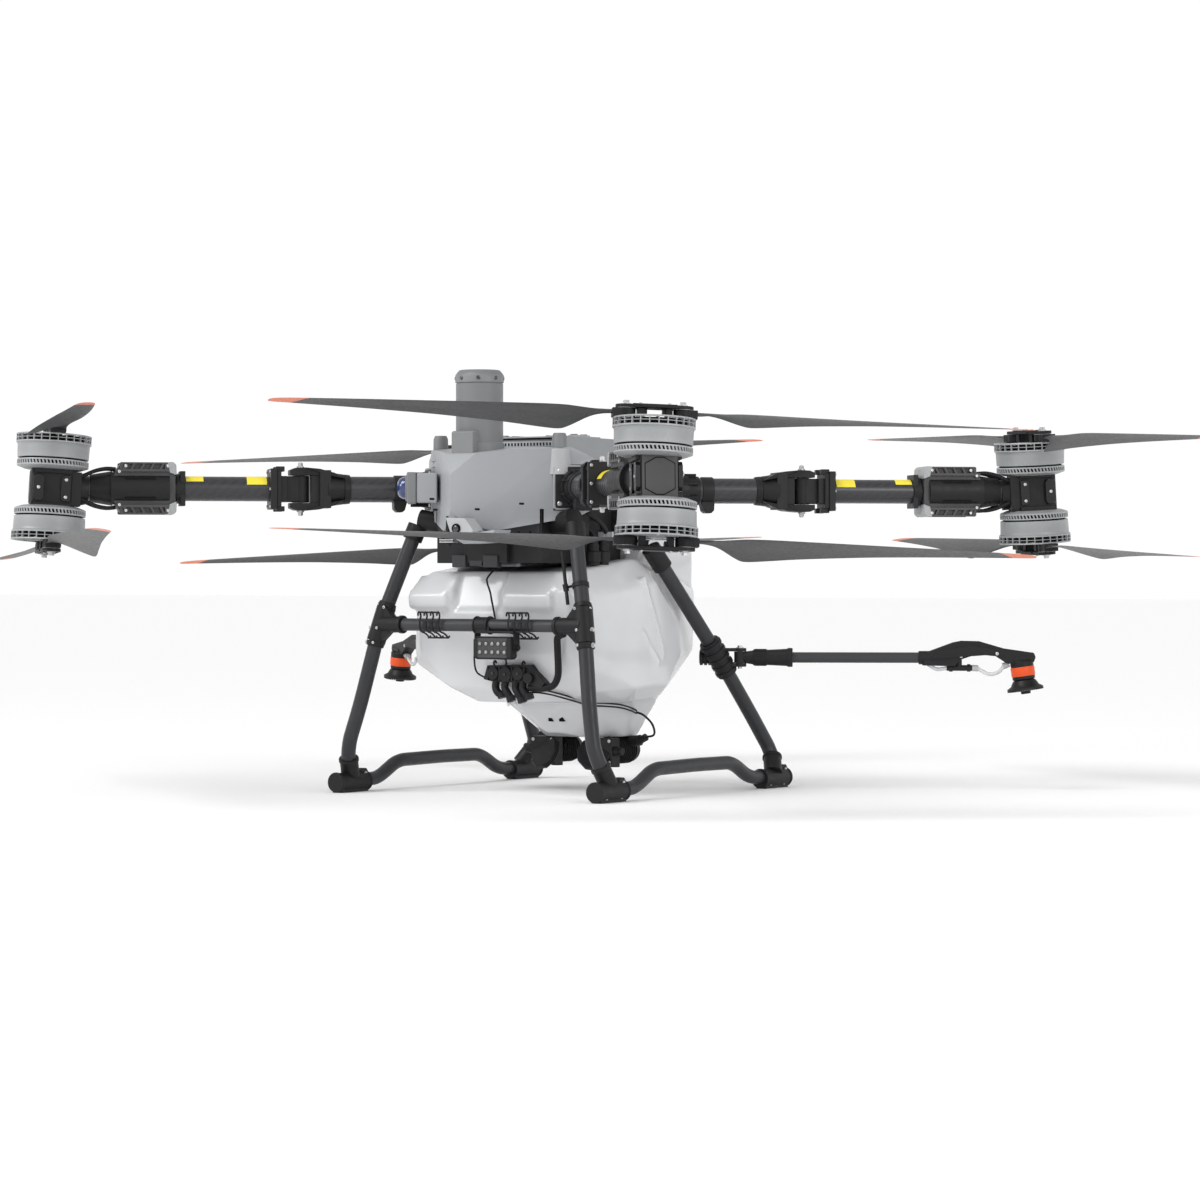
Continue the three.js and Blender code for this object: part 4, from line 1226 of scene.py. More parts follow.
def rounded_frame(half_width, half_height, wall, low, high):
    """A flat frame with rounded corners, standing across X between two X values."""
    outer, inner = [], []
    radius = 9
    for i, (sx, sy) in enumerate(QUARTERS):
        for step in range(5):
            angle = math.radians(90 * i + 22.5 * step)
            for ring, edge, corner in ((outer, 0, radius), (inner, wall, radius - wall * 0.6)):
                a = sx * (half_width - edge - corner) + corner * math.cos(angle)
                b = sy * (half_height - edge - corner) + corner * math.sin(angle)
                ring.append((a, b))
    count = len(outer)
    points = [Vector((x, a, b)) for x in (low, high) for ring in (outer, inner) for a, b in ring]
    faces = []
    for i in range(count):
        j = (i + 1) % count
        faces.append((2 * count + i, 2 * count + j, 3 * count + j, 3 * count + i))
        faces.append((j, i, count + i, count + j))
        faces.append((i, j, 2 * count + j, 2 * count + i))
        faces.append((count + j, count + i, 3 * count + i, 3 * count + j))
    return points, faces, [None] * len(faces)


def make_nose():
    piece("nose_shell_skin", "airframe", nose_mesh(), "shell", replaces=["nose_shell"])
    bezel = rounded_frame(55, 51, 4.5, ROOT_PLATE - 12, ROOT_PLATE - 1)
    bezel = shifted(bezel, 0, 0, (FRAME_LOW + FRAME_HIGH) / 2)
    fixed("root_bezels", merged(along_arm(bezel, -45), along_arm(bezel, -135)), "shell", 1.0)
    # Near-black pegs: painted shade in the screw holes.
    holes = [(-83, -372, 680), (-57, -394, 655), (62, -396, 655), (128, -316, 668)]
    dots = [rod((x, y - 3, z), (x, y + 10, z), 2.6, 12) for x, y, z in holes]
    fixed("nose_screw_hole_shade", merged(*dots), "black_and_painted_shade")
    pedestal = turned([(0, 735), (30, 735), (27, 790), (26, 794), (0, 794)], 40)
    fixed("stub_pedestal", shifted(pedestal, STUB_X, STUB_Y, 0), "pale", 1.0)
    low_pedestal = turned([(0, 770), (24, 770), (22, 796), (0, 796)], 40)
    fixed("stub_foot", shifted(low_pedestal, -STUB_X, STUB_Y, 0), "shell", 0.8)
    stub = turned([(0, 790), (17.5, 790), (17, 822), (13.5, 830), (0, 830)], 40)
    stubs = merged(*[shifted(stub, side * STUB_X, STUB_Y, 0) for side in (1, -1)])
    fixed("antenna_stubs", stubs, "mast", 0.6)


def make_camera_hood():
    """The camera under the nose, with its hood, lens, metal foot and cable."""
    hood = [(2, 636), (56, 634), (80, 606), (66, 596), (16, 600)]
    fixed("camera_hood", slab(hood, -432, -392), "pale", 1.5)
    barrel = rod((33, -436, 611), (33, -420, 612), 11, 24)
    fixed("camera_barrel", merged(barrel, block((14, -434, 597), (64, -424, 601))), "black_and_painted_shade", 0.6)
    lens = turned([(0, -3), (8, -3), (8, 0), (0, 2.5)], 24)
    forward = Matrix.Translation((33, -436, 611)) @ Matrix.Rotation(math.pi / 2, 4, "X")
    fixed("camera_lens", moved(lens, forward), "lens")
    tray = [(2, 597), (60, 602), (122, 608), (106, 580), (34, 577), (8, 590)]
    fixed("camera_tray", slab(tray, -408, -344), "shell", 1.2)
    fins = [block((-36, -404, 580 + 5 * i), (2, -384, 582.5 + 5 * i)) for i in range(4)]
    fixed("camera_fins", merged(*fins), "steel", 0.4)
    route = [(-19, -392, 640), (-19, -394, 600), (-19, -390, 572)]
    fixed("camera_cable", tube(route, 5.5, 14), "rubber")


def make_mast():
    post = [
        (0, 780), (57, 780), (57, 807), (54, 810), (54, 943), (52.6, 943.4), (52.6, 945), (55.5, 945.4),
        (55.5, 962), (53, 966), (47, 973), (45, 974), (0, 974),
    ]
    fixed("mast_post", shifted(turned(post, 72), 0, MAST_Y, 0), "mast", replaces=["radar_mast"])
    box_points = [(30, -366, 780), (30, -366, 831), (28, -363, 834), (30, -330, 834), (30, -330, 780)]
    fixed("mast_box", hull(box_points), "mast", 2.0)
    windows = []
    lens = turned([(0, -2), (4.6, -2), (4.6, 1.2), (3, 2), (0, 2)], 20)
    lens = shifted(moved(lens, Matrix.Rotation(math.pi / 2, 4, "Y")), 55, 0, 955)
    for i in range(8):
        angle = math.radians(-90 + 45 * i - 12)
        windows.append(shifted(turned_z(lens, angle), 0, MAST_Y, 0))
    fixed("mast_windows", merged(*windows), "lens")


def make_side_sensor():
    """The sensor on the nose's right front facet: a housing, a grey rim and a blue glass dome."""
    facing = Vector((-0.81, -0.59, 0))
    foot = Vector((-136, -300, 707))
    place = frame_of(foot, (0, 0, 1), facing)
    housing = block((-34, -32, -14), (34, 32, 34))
    rim = block((-36, -34, 34), (36, 34, 56))
    step = turned([(0, 50), (31, 50), (31, 58), (28, 60), (0, 60)], 40)
    dome = turned([(0, 58), (26, 58), (25, 66), (21, 73), (13, 78), (0, 80)], 40)
    fixed("sensor_housing", moved(housing, place), "shell", 4.0)
    fixed("sensor_rim", merged(moved(rim, place), moved(step, place)), "mast", 3.0)
    fixed("sensor_dome", moved(dome, place), "blue_dome")


def make_battery():
    low = FRAME_HIGH + 0.3
    hood = [
        (112, -132, low), (120, -128, 800), (112, -122, 828), (112, 90, 826), (126, 150, 800),
        (130, 188, low), (118, 200, low),
    ]
    fixed("battery_hood", hull(hood), "hood", 4.0, replaces=["battery"])
    # A near-black strip across the front: painted shade in the seam under the hood's top.
    fixed("battery_seam_shade", block((-108, -128, 821), (108, -123, 824.5)), "black_and_painted_shade", 0.5)
    fixed("battery_vent_bar", block((-108, -131, 803), (108, -125, 816)), "pale", 0.8)
    # Near-black blocks: painted shade in the vent openings.
    vents = [block((x - 1.8, -131.8, 806), (x + 1.8, -127, 813)) for x in range(-100, 101, 9)]
    fixed("battery_vent_shade", merged(*vents), "black_and_painted_shade")
    fixed("battery_lip", block((-70, -138, 794), (70, -128, 799)), "pale", 1.0)
    latch_spots = [(x, y) for x in (98, -98) for y in (-70, -30)]
    latches = [block((x - 11, y, 818), (x + 11, y + 22, 832)) for x, y in latch_spots]
    fixed("battery_latches", merged(*latches), "shell", 2.0)
    grips = [block((x - 8, y + 6, 831), (x + 8, y + 14, 834)) for x, y in latch_spots]
    fixed("battery_latch_grips", merged(*grips), "dark_grey", 0.8)
    rails = [block((x - 3, -100, 824), (x + 3, 84, 831)) for x in (-72, -48, 48, 72)]
    fixed("battery_ribs", merged(*rails), "hood", 1.2)


def make_center_frame():
    hub = merged(
        block((-122, -122, FRAME_LOW), (122, 122, FRAME_HIGH)),
        *[root_beam(azimuth, 0) for azimuth in (-45, -135, 45, 135)],
        block((-148, -262, 534), (148, 60, FRAME_LOW + 1)),
        block((-60, -275, 534), (60, -225, 584)),
    )
    fixed("frame_core", hub, "black", 1.5, replaces=["center_frame"])
    # Near-black blocks: painted shade in the frame's slots.
    slots = [block((x - 3, -264.5, 584), (x + 3, -260, 606)) for x in (-128, -98, 86, 118)]
    fixed("frame_slot_shade", merged(*slots), "black_and_painted_shade")
    fixed("frame_panel", block((-142, -264, 580), (142, -260, 650)), "gear", 1.5)
    feet = [
        block((-92, -280, 524), (-54, -262, 552)),
        block((-46, -276, 528), (-10, -262, 540)),
        block((-4, -280, 524), (36, -262, 552)),
    ]
    fixed("frame_feet", merged(*feet), "gear", 1.5)
    ribs = []
    for azimuth in (45, 135):
        for side in (-1, 1):
            for z in (668, 700, 732):
                rib = block((140, side * 52 - 3, z - 3), (288, side * 52 + 3, z + 3))
                ribs.append(along_arm(rib, azimuth))
    fixed("frame_ribs", merged(*ribs), "black", 1.0)
    sockets = []
    for start, end, radius in (
        ((140, -205, 620), (218, -234, 636), 24),
        ((222, -236.5, 622), (232, -246, 588), 23),
        ((150, 40, 640), (228, 52, 592), 22),
        ((234, 56, 570), (246, 92, 524), 23),
    ):
        sockets.append(rod(start, end, radius, 32))
    sockets.append(block((142, -225, 600), (202, -150, FRAME_LOW + 1)))
    sockets.append(block((141, 20, 600), (189, 90, FRAME_LOW + 1)))
    fixed("leg_sockets", both_sides(merged(*sockets)), "black", 1.5)
    plugs = []
    for y in (-108, -70):
        profile = [(0, -22), (15, -22), (15, -16), (18, -15), (18, 8), (14, 10), (14, 26), (0, 26)]
        plug = turned(profile, 28)
        plugs.append(shifted(plug, 184, y, 552))
        plugs.append(rod((184, y, 570), (184, y, 610), 9, 16))
    fixed("round_connectors", both_sides(merged(*plugs)), "black", 0.8)
    clips = [block((x - 9, -92, 588), (x + 9, -86, 606)) for x in (196, 218)]
    fixed("harness_clips", both_sides(merged(*clips)), "pale", 0.8)
    harness = [
        smooth_route([(150, -150, 640), (176, -150, 622), (190, -120, 606), (186, -108, 580)]),
        smooth_route([(150, -60, 640), (178, -66, 625), (186, -70, 600), (184, -70, 580)]),
        smooth_route([(210, -170, 648), (222, -140, 630), (214, -100, 610), (190, -75, 600)]),
    ]
    fixed("harness", both_sides(merged(*[tube(route, 5.0, 12) for route in harness])), "rubber")


# ---- Tank, lid and pumps -------------------------------------------------------------------


def cable(name, points, radius, steps=6, sides=10):
    """A rubber cable or hose held along a smooth route."""
    fixed(name, tube(smooth_route(points, steps), radius, sides), "rubber")


TANK_BELLY = [
    (196, -222, 514), (244, -190, 466), (246, -205, 440), (247, -214, 330), (236, -222, 300),
    (212, -250, 470), (205, -250, 330), (130, -240, 248), (60, -218, 214), (244, -60, 470), (247, 0, 300),
    (244, -20, 246), (200, -120, 240), (122, -140, 214), (180, 40, 208), (242, 120, 250), (240, 175, 320),
    (236, 175, 500), (196, 40, 545), (200, 300, 470), (200, 295, 330), (190, 160, 220),
]
# The hollow between the shoulder pads, as (y, z) corners.
RECESS = ((-300, 418), (-300, 560), (-243, 425), (-205, 545))
TANK_SUMP = [
    (40, -62, 192), (22, 0, 136), (64, 60, 124), (110, 130, 124), (110, 190, 124), (140, 130, 166),
    (120, -60, 226), (180, 60, 226), (180, 180, 220),
]
TANK_TOWER = [
    (196, 60, 546), (196, 300, 546), (150, 140, 684), (190, 296, 654), (180, 286, 684), (196, 296, 460),
    (200, 60, 460),
]


def shoulder_pad(low_x, high_x):
    """A raised panel on the tank's upper front, its top sloping back."""
    points = []
    for inset, y, z in ((0, -258, 428), (0, -263, 460), (14, -226, 506), (6, -190, 420), (14, -190, 500)):
        points.extend([(low_x + inset, y, z), (high_x - inset, y, z)])
    return hull(points, False)


def ridge(start, end, width=9):
    """A low rib standing on the tank's side, from one (y, z) to another."""
    a, b = Vector((0, *start)), Vector((0, *end))
    across = Vector((1, 0, 0)).cross((b - a).normalized()) * width
    base = [Vector((238, 0, 0)) + p + s * across for p in (a, b) for s in (-1, 1)]
    crest = [Vector((250, 0, 0)) + a, Vector((250, 0, 0)) + b]
    return hull(base + crest, False)


def tank_mesh():
    leg_slot = rod((232, 30, 610), (274, 180, 405), 36, 24)
    recess = [(x, y, z) for x in (-112, 26) for y, z in RECESS]
    arm_room = block((0, -60, 647), (420, 60, 764))
    steps = [
        ("UNION", hull(TANK_SUMP)),
        ("UNION", hull(TANK_TOWER)),
        ("UNION", shoulder_pad(-236, -124)),
        ("UNION", shoulder_pad(36, 170)),
        ("UNION", both_sides(ridge((14, 505), (97, 318)))),
        ("UNION", both_sides(ridge((6, 380), (78, 302)))),
        ("DIFFERENCE", hull(recess, False)),
        ("DIFFERENCE", block((-130, -130, FRAME_LOW - 8), (130, 130, FRAME_HIGH + 8))),
        ("DIFFERENCE", along_arm(arm_room, 45)),
        ("DIFFERENCE", along_arm(arm_room, 135)),
        ("DIFFERENCE", block((-156, -300, 526), (156, 68, 700))),
        ("DIFFERENCE", block((-215, 10, 590), (215, 100, 700))),
        ("DIFFERENCE", both_sides(leg_slot)),
    ]
    return sculpted("tank_skin", "tank", hull(TANK_BELLY), steps, voxel=5.0, smoothing=7)


def make_tank():
    piece("tank_skin", "airframe", tank_mesh(), "tank", replaces=["tank"])
    neck = turned([(48, 660), (53, 660), (53, 694), (51, 698), (48, 698), (48, 660)], 56)
    threads = [turned([(51, z), (54.5, z + 1.5), (51, z + 3)], 56) for z in (686, 691)]
    fixed("filler_neck", shifted(merged(neck, *threads), 0, 228, 0), "tank")
    profile = [(0, 16), (46, 16), (46, 15), (53, 15), (53, 2), (60, 2), (60, 22), (55, 26), (0, 26)]
    lid_place = Matrix.Translation(pin_of("tank_lid_turn"))
    grips = ring_of(block((58, -1.5, 3), (61, 1.5, 21)), 30)
    lid = metres(merged(turned(profile, 60), grips))
    piece("lid_cap", "tank_lid", lid, "black", lid_place, 0.0006, replaces=["tank_lid"])
    handle = metres(merged(block((-52, -7, 25), (52, 7, 34)), block((-20, -12, 25), (20, 12, 30))))
    piece("lid_handle", "tank_lid", handle, "black", lid_place, 0.002)
    # Near-black blocks at the sump: painted shade in the port openings.
    ports = [block((x - 5, y - 2, 164), (x + 5, y + 16, 176)) for x, y in ((16, -38), (43, -33))]
    fixed("tank_port_shade", merged(*ports), "black_and_painted_shade", 0.8)
    front = [
        (-3, -236, 520), (-11, -252, 500), (-13, -250, 488), (-6, -248, 466), (0, -252, 452), (14, -256, 405),
    ]
    cable("tank_front_cable", front, 2.2)


PUMP_X, PUMP_HEIGHT = 82, 92


def make_pumps():
    for side, word in SIDES:
        x = side * PUMP_X
        backward = Matrix.Translation((x, 108, PUMP_HEIGHT)) @ Matrix.Rotation(-math.pi / 2, 4, "X")
        can = turned([(0, 0), (26, 0), (29, 3), (30, 8), (30, 88), (27, 95), (0, 97)], 40)
        fins = []
        for low in range(8, 80, 8):
            fins.append(turned([(0, low), (33, low), (33, low + 2.4), (0, low + 2.4)], 40))
        motor = moved(merged(can, *fins), backward)
        head = block((x - 34, 70, 58), (x + 34, 104, 123))
        disc = turned([(0, -9), (40, -9), (43, -6), (43, 6), (40, 9), (0, 9)], 10)
        tilt = Matrix.Translation((x - side * 12, 66, 86)) @ Matrix.Rotation(math.radians(62), 4, "X")
        disc = moved(disc, tilt @ Matrix.Rotation(math.radians(side * 16), 4, "Y"))
        foot = rod((x, 130, 64), (x, 130, 52), 14, 24)
        outlet = rod((x + side * 20, 84, PUMP_HEIGHT), (x + side * 56, 84, PUMP_HEIGHT), 9, 20)
        nut = rod((x + side * 34, 84, PUMP_HEIGHT), (x + side * 46, 84, PUMP_HEIGHT), 12, 6)
        plug = merged(
            rod((x + side * 26, 160, 112), (x + side * 56, 160, 116), 13, 20),
            rod((x + side * 56, 160, 116), (x + side * 72, 160, 124), 9, 16),
        )
        web = hull([(inset, y, z) for inset in (0.1, 8) for y, z in ((96, 118), (150, 128), (96, 128))])
        shape = merged(motor, head, foot, outlet, nut, plug, shifted(web, x, 0, 0))
        fixed(f"pump_body_{word}", shape, "black", 1.0, replaces=[f"pump_{word}"])
        fixed(f"pump_disc_{word}", disc, "black", 1.0)
        spots = [(x + a, 70, 91 + b) for a in (-27, 27) for b in (-25, 25)]
        fixed(f"pump_screws_{word}", merged(*[screw(p, (0, -1, 0), 4.2, 2.5) for p in spots]), "steel")


# ---- Landing gear --------------------------------------------------------------------------

FRONT_LEG = [
    (224.5, -239, 612.5), (287, -294, 397), (323, -326, 204), (343, -340, 122), (352, -334, 90),
    (358, -322, 64),
]
REAR_LEG = [
    (241, 77, 543.5), (270, 167, 425), (298, 252, 312), (326, 349, 177), (341, 405, 97), (351, 407, 72),
    (357, 399, 60),
]
LEG_RADIUS = 17
BEND_REACH = 40
BOOM_HEIGHT = 312
BOOM_TURN = math.atan2(0.492, 0.87)
CROSSBAR_Y, CROSSBAR_Z = -301, 392
CLIP_X = 125
CLIP_WIRE = [
    (-330, 413), (-329, 420), (-323, 421), (-319, 412), (-323, 402), (-323, 388), (-317, 377), (-304, 373),
    (-294, 368), (-286, 362), (-281, 366),
]
FRONT_FOOT, REAR_FOOT = -310, 386


def bent(points):
    """A route with straight runs and its inner corners rounded off."""
    points = [Vector(point) for point in points]
    route = [points[0]]
    for before, corner, after in zip(points, points[1:], points[2:]):
        reach = min((corner - before).length * 0.45, (after - corner).length * 0.45, BEND_REACH)
        start = corner + (before - corner).normalized() * reach
        stop = corner + (after - corner).normalized() * reach
        for step in range(7):
            t = step / 6
            route.append((1 - t) ** 2 * start + 2 * t * (1 - t) * corner + t**2 * stop)
    route.append(points[-1])
    return route


def point_on(route, height):
    """Where a leg's axis passes a height."""
    for a, b in zip(route, route[1:]):
        if b[2] <= height <= a[2]:
            t = (a[2] - height) / (a[2] - b[2])
            return tuple(a[i] + (b[i] - a[i]) * t for i in range(3))
    return route[-1]


def sleeve(route, high, low, radius, sides=32, end_radius=None):
    return rod(point_on(route, high), point_on(route, low), radius, sides, end_radius)


def front_fitting():
    """The tee that joins a front leg to the crossbar, with its two gussets."""
    inner_x = 215
    return merged(
        sleeve(FRONT_LEG, 432, 352, 22.5),
        sleeve(FRONT_LEG, 442, 432, 20, 32, 22.5),
        sleeve(FRONT_LEG, 352, 340, 22.5, 32, 20),
        rod((inner_x, CROSSBAR_Y, CROSSBAR_Z), (287, CROSSBAR_Y + 3, CROSSBAR_Z), 18.5, 32, 20),
        rod((inner_x, CROSSBAR_Y, CROSSBAR_Z), (inner_x + 9, CROSSBAR_Y, CROSSBAR_Z), 21, 32),
        slab([(236, 398), (296, 398), (284, 440), (270, 440)], -307, -287),
        slab([(236, 386), (282, 346), (298, 346), (300, 386)], -311, -291),
    )


def front_bolts():
    spots = [(432, 16), (384, 20), (350, 20)]
    shapes = []
    for height, out in spots:
        x, y, z = point_on(FRONT_LEG, height)
        shapes.append(bolt((x + out, y - 2, z), (1, -0.2, 0), 4, 7))
        shapes.append(screw((x - 8, y - 21, z), (0, -1, 0), 3.6, 2))
    return merged(*shapes)


def rear_fitting():
    """The ribbed clamp on a rear leg that carries the boom's hinge."""
    rings = [sleeve(REAR_LEG, z + 3.5, z - 3.5, 27, 24) for z in (342, 327, 312, 297, 282)]
    across = Vector((math.cos(BOOM_TURN), math.sin(BOOM_TURN), 0))
    middle = Vector((297, 262, BOOM_HEIGHT))
    inward = [rod(middle - across * d, middle - across * (d + 7), 19, 20) for d in (22, 32, 42)]
    core = rod(middle - across * 50, middle - across * 10, 15, 24)
    ears = []
    for low, high in ((290, 298), (326, 334)):
        eye = turned([(0, low), (15, low), (15, high), (0, high)], 28)
        ear = merged(block((8, -12, low), (46, 12, high)), shifted(eye, 46, 0, 0))
        ears.append(shifted(turned_z(ear, BOOM_TURN), middle.x, middle.y, 0))
    flange = sleeve(REAR_LEG, 350, 274, 24.5)
    return merged(*rings, *inward, core, *ears, flange)


def make_legs():
    for side, word in SIDES:
        front, rear = (sided(tube(bent(leg), LEG_RADIUS, 32), side) for leg in (FRONT_LEG, REAR_LEG))
        fixed(f"front_leg_{word}", front, "gear", replaces=[f"leg_front_{word}"])
        fixed(f"front_fitting_{word}", sided(front_fitting(), side), "black", 1.2)
        fixed(f"front_bolts_{word}", sided(front_bolts(), side), "steel")
        fixed(f"rear_leg_{word}", rear, "gear", replaces=[f"leg_rear_{word}"])
        fixed(f"rear_fitting_{word}", sided(rear_fitting(), side), "black", 1.0)
        pin = pin_of(f"boom_fold_{word}")
        shaft = merged(rod((0, 0, -27), (0, 0, 27), 5, 16), bolt((0, 0, 22), (0, 0, 1), 6, 6))
        piece(f"boom_pin_{word}", "airframe", metres(shaft), "steel", Matrix.Translation(pin))
    strap = sleeve(FRONT_LEG, 488, 478, 19.5)
    x, y, z = point_on(FRONT_LEG, 483)
    tail = rod((x - 10, y - 10, z), (x - 38, y + 2, z - 4), 3.2, 10)
    link = rod((204, -262, 560), (236, -285, 440), 4.2, 16)
    ferrule = rod((222, -276, 486), (226, -276, 470), 6.5, 16)
    fixed("leg_strap", merged(strap, tail, link, ferrule), "black", 0.5)


SKID_ROUTE = [
    (-346, 24), (-215, 28), (-190, 36), (-140, 61), (-112, 67), (50, 69), (192, 68), (220, 60), (268, 36),
    (295, 29), (424, 24),
]


def foot_shape(y, route):
    """A foot: a tee round the skid and the leg's end, with an eye lug, collars and a flat sole."""
    end = Vector(route[-1])
    down = (end - Vector(route[-2])).normalized()
    eye = [(y + 30, 36), (y + 57, 22), (y + 58, 44), (y + 50, 54), (y + 36, 54), (y + 30, 48)]
    lug = bar(eye, 355, 373)
    return merged(
        rod((364, y - 55, 24), (364, y + 55, 24), 22, 36),
        rod((364, y - 57, 24), (364, y - 50, 24), 23.5, 36),
        rod((364, y + 50, 24), (364, y + 57, 24), 23.5, 36),
        rod(end - down * 16, end + down * 30, 21.5, 36),
        rod(end - down * 18, end - down * 10, 23.5, 36),
        block((350, y - 50, 0), (378, y + 50, 16)),
        lug,
    )


def make_skids():
    route = [(364, y, z) for y, z in SKID_ROUTE]
    for side, word in SIDES:
        skid = sided(tube(bent(route), 16, 32), side)
        fixed(f"skid_tube_{word}", skid, "gear", replaces=[f"skid_{word}"])
        feet = merged(foot_shape(FRONT_FOOT, FRONT_LEG), foot_shape(REAR_FOOT, REAR_LEG))
        fixed(f"skid_feet_{word}", sided(feet, side), "black", 1.5)
        pins = [rod((352, y + 44, 42), (376, y + 44, 42), 5, 20) for y in (FRONT_FOOT, REAR_FOOT)]
        spots = [(378, y + d, 10) for y in (FRONT_FOOT, REAR_FOOT) for d in (-30, 30)]
        screws = [screw(spot, (1, 0, 0), 3.5, 2) for spot in spots]
        fixed(f"foot_pins_{word}", sided(merged(*pins, *screws), side), "steel")


def clip_rack(x):
    """A rack of wavy wires round the crossbar, with hooked ends and tied by cross wires."""
    wires = []
    for i in range(4):
        wire_x = x + 18 * (i - 1.5)
        route = [(wire_x, y, z) for y, z in CLIP_WIRE]
        wires.append(tube(smooth_route(route, 4), 2.1, 10))
    for y, z in ((-326, 421), (-324, 402), (-318, 378), (-288, 362)):
        wires.append(rod((x - 29, y, z), (x + 29, y, z), 2.1, 10))
    return merged(*wires)


def make_crossbar():
    def across(low_x, high_x, radius, sides=36):
        return rod((low_x, CROSSBAR_Y, CROSSBAR_Z), (high_x, CROSSBAR_Y, CROSSBAR_Z), radius, sides)

    fixed("crossbar_tube", across(-214, 214, 14.5, 32), "gear", replaces=["crossbar"])
    fixed("clip_racks", merged(clip_rack(CLIP_X), clip_rack(-CLIP_X)), "black")
    ring = across(-4, 32, 19)
    lips = [across(x - 2, x + 2, 21) for x in (-4, 32)]
    yoke = [
        block((2, -322, 374), (114, -300, 380)),
        block((2, -322, 338), (5.5, -300, 380)),
        block((110.5, -322, 338), (114, -300, 380)),
        block((6, -318, 374), (40, -296, 388)),
    ]
    fixed("light_yoke", merged(ring, *lips, *yoke), "black", 0.8)
    bolts = [bolt((2, -311, 342), (-1, 0, 0), 6, 6), bolt((114, -311, 342), (1, 0, 0), 6, 6)]
    fixed("light_bolts", merged(*bolts), "black", 0.3)


LIGHT_SPOT = (58, -318, 341)
LED_PITCH = 17  # along a row
LED_ROW = 9.5  # each row's distance from the middle


def make_work_light():
    place = Matrix.Translation(spot(*LIGHT_SPOT))
    corner = 9

    def outline(half_width, half_height):
        points = []
        for i, (sx, sz) in enumerate(QUARTERS):
            for step in range(5):
                angle = math.radians(90 * i + 22.5 * step)
                x = sx * (half_width - corner) + corner * math.cos(angle)
                z = sz * (half_height - corner) + corner * math.sin(angle)
                points.append((x, z))
        return points

    fins = [block((-44, 8, 11 * row - 2), (44, 22, 11 * row + 2)) for row in (-1.5, -0.5, 0.5, 1.5)]
    lugs = [block((side * 46 - 6, -13, -20), (side * 46 + 6, 12, 20)) for side in (-1, 1)]
    case = merged(slab(outline(52.5, 26), -9, 12), *fins, *lugs)
    piece("light_case", "work_light", metres(case), "black", place, 0.001, replaces=["work_light"])
    face = slab(outline(46, 22), -12.5, -8)
    piece("light_face", "work_light", metres(face), "dark_grey", place, 0.0008)
    cup = turned([(4.6, 0), (6.8, 0), (6.6, 1.4), (4.8, 1.4), (4.6, 0)], 24)
    led = turned([(0, -0.5), (4.6, -0.5), (4.5, 0.6), (3.0, 1.8), (0, 2.3)], 24)
    cups, leds = [], []
    back = Matrix.Rotation(math.pi / 2, 4, "X")
    for row in (-1, 1):
        for column in range(5):
            foot = Matrix.Translation(((column - 2) * LED_PITCH, -12.4, row * LED_ROW)) @ back
            cups.append(moved(cup, foot))
            leds.append(moved(led, foot))
    piece("light_cups", "work_light", metres(merged(*cups)), "gear", place)
    piece("light_leds", "work_light", metres(merged(*leds)), "led", place)


# ---- Valve block, hoses and cables ---------------------------------------------------------


def make_plumbing():
    outline = [(-11, 268), (0, 300), (116, 303), (128, 288), (160, 262), (150, 250), (100, 262), (20, 262)]
    plate = slab(outline, -268, -246)
    valves = [
        rod((x, -276, z), (x, -250, z), radius, 24)
        for x, z, radius in ((20, 282, 15), (54, 280, 17), (90, 282, 15), (118, 272, 12))
    ]
    ribs = [block((x - 2, -274, 266), (x + 2, -262, 296)) for x in (4, 37, 72, 106)]
    elbows = []
    for x, low in ((22, 232), (48, 224), (78, 222), (98, 230)):
        elbow = [(x, -262, 268), (x, -266, 250), (x + 8, -268, 238), (x + 18, -266, low)]
        elbows.append(tube(smooth_route(elbow), 9, 16))
        elbows.append(rod((x + 16, -266, low + 6), (x + 20, -266, low - 6), 11, 6))
    hooks = []
    for x in (17, 97):
        hook = [(x, -262, 296), (x, -266, 306), (x + 5, -268, 310), (x + 9, -268, 305)]
        hooks.append(tube(smooth_route(hook), 2.4, 10))
    fixed("valve_block", merged(plate, *valves, *ribs, *elbows, *hooks), "black", 0.8)
    dots = [screw((x, -277, z), (0, -1, 0), 3.2, 1.6) for x, z in ((20, 282), (54, 280), (90, 282))]
    fixed("valve_screws", merged(*dots), "dark_grey")
    stubs = [rod((x, -262, 226), (x + 5, -264, 208), 3.2, 12) for x in (52, 72, 94)]
    fixed("hose_stubs", merged(*stubs), "clear")
    hose = [
        (226, -286, 374), (205, -280, 366), (197, -270, 345), (195, -264, 300), (192, -262, 275),
        (178, -260, 256), (150, -260, 249), (112, -262, 250),
    ]
    cable("supply_hose", hose, 8, 8, 20)
    left = [
        (22, -310, 330), (-8, -300, 336), (-26, -280, 332), (-34, -272, 312), (-30, -268, 284),
        (-6, -264, 270),
    ]
    cable("light_cable_side", left, 2.2)
    middle = [(62, -300, 322), (58, -276, 312), (56, -272, 294), (66, -274, 278)]
    cable("light_cable_middle", middle, 2.2)
    upper = [
        (80, -262, 240), (112, -250, 246), (138, -222, 242), (148, -154, 228), (140, -60, 212),
        (152, -5, 208), (168, 30, 204), (170, 70, 196), (158, 112, 188),
    ]
    for i, lift in enumerate((0, -7)):
        pair = [(x, y, z + lift) for x, y, z in upper]
        cable(f"pump_cable_{i}", pair, 2.0, 8)
    drop = [
        (158, 112, 184), (178, 110, 178), (197, 116, 160), (194, 134, 140), (178, 152, 128), (153, 160, 124),
    ]
    cable("pump_lead", drop, 2.6, 8)


# ---- Spray booms ---------------------------------------------------------------------------

NOZZLE_END = 660
NOZZLE_LEAN = math.radians(8)
BRACKET = [
    (428, -18), (446, 16), (500, 36), (520, 40), (562, 39), (620, 22), (690, 12), (694, 2), (690, -10),
    (628, -14), (600, 4), (556, 8), (520, -4), (505, -20),
]


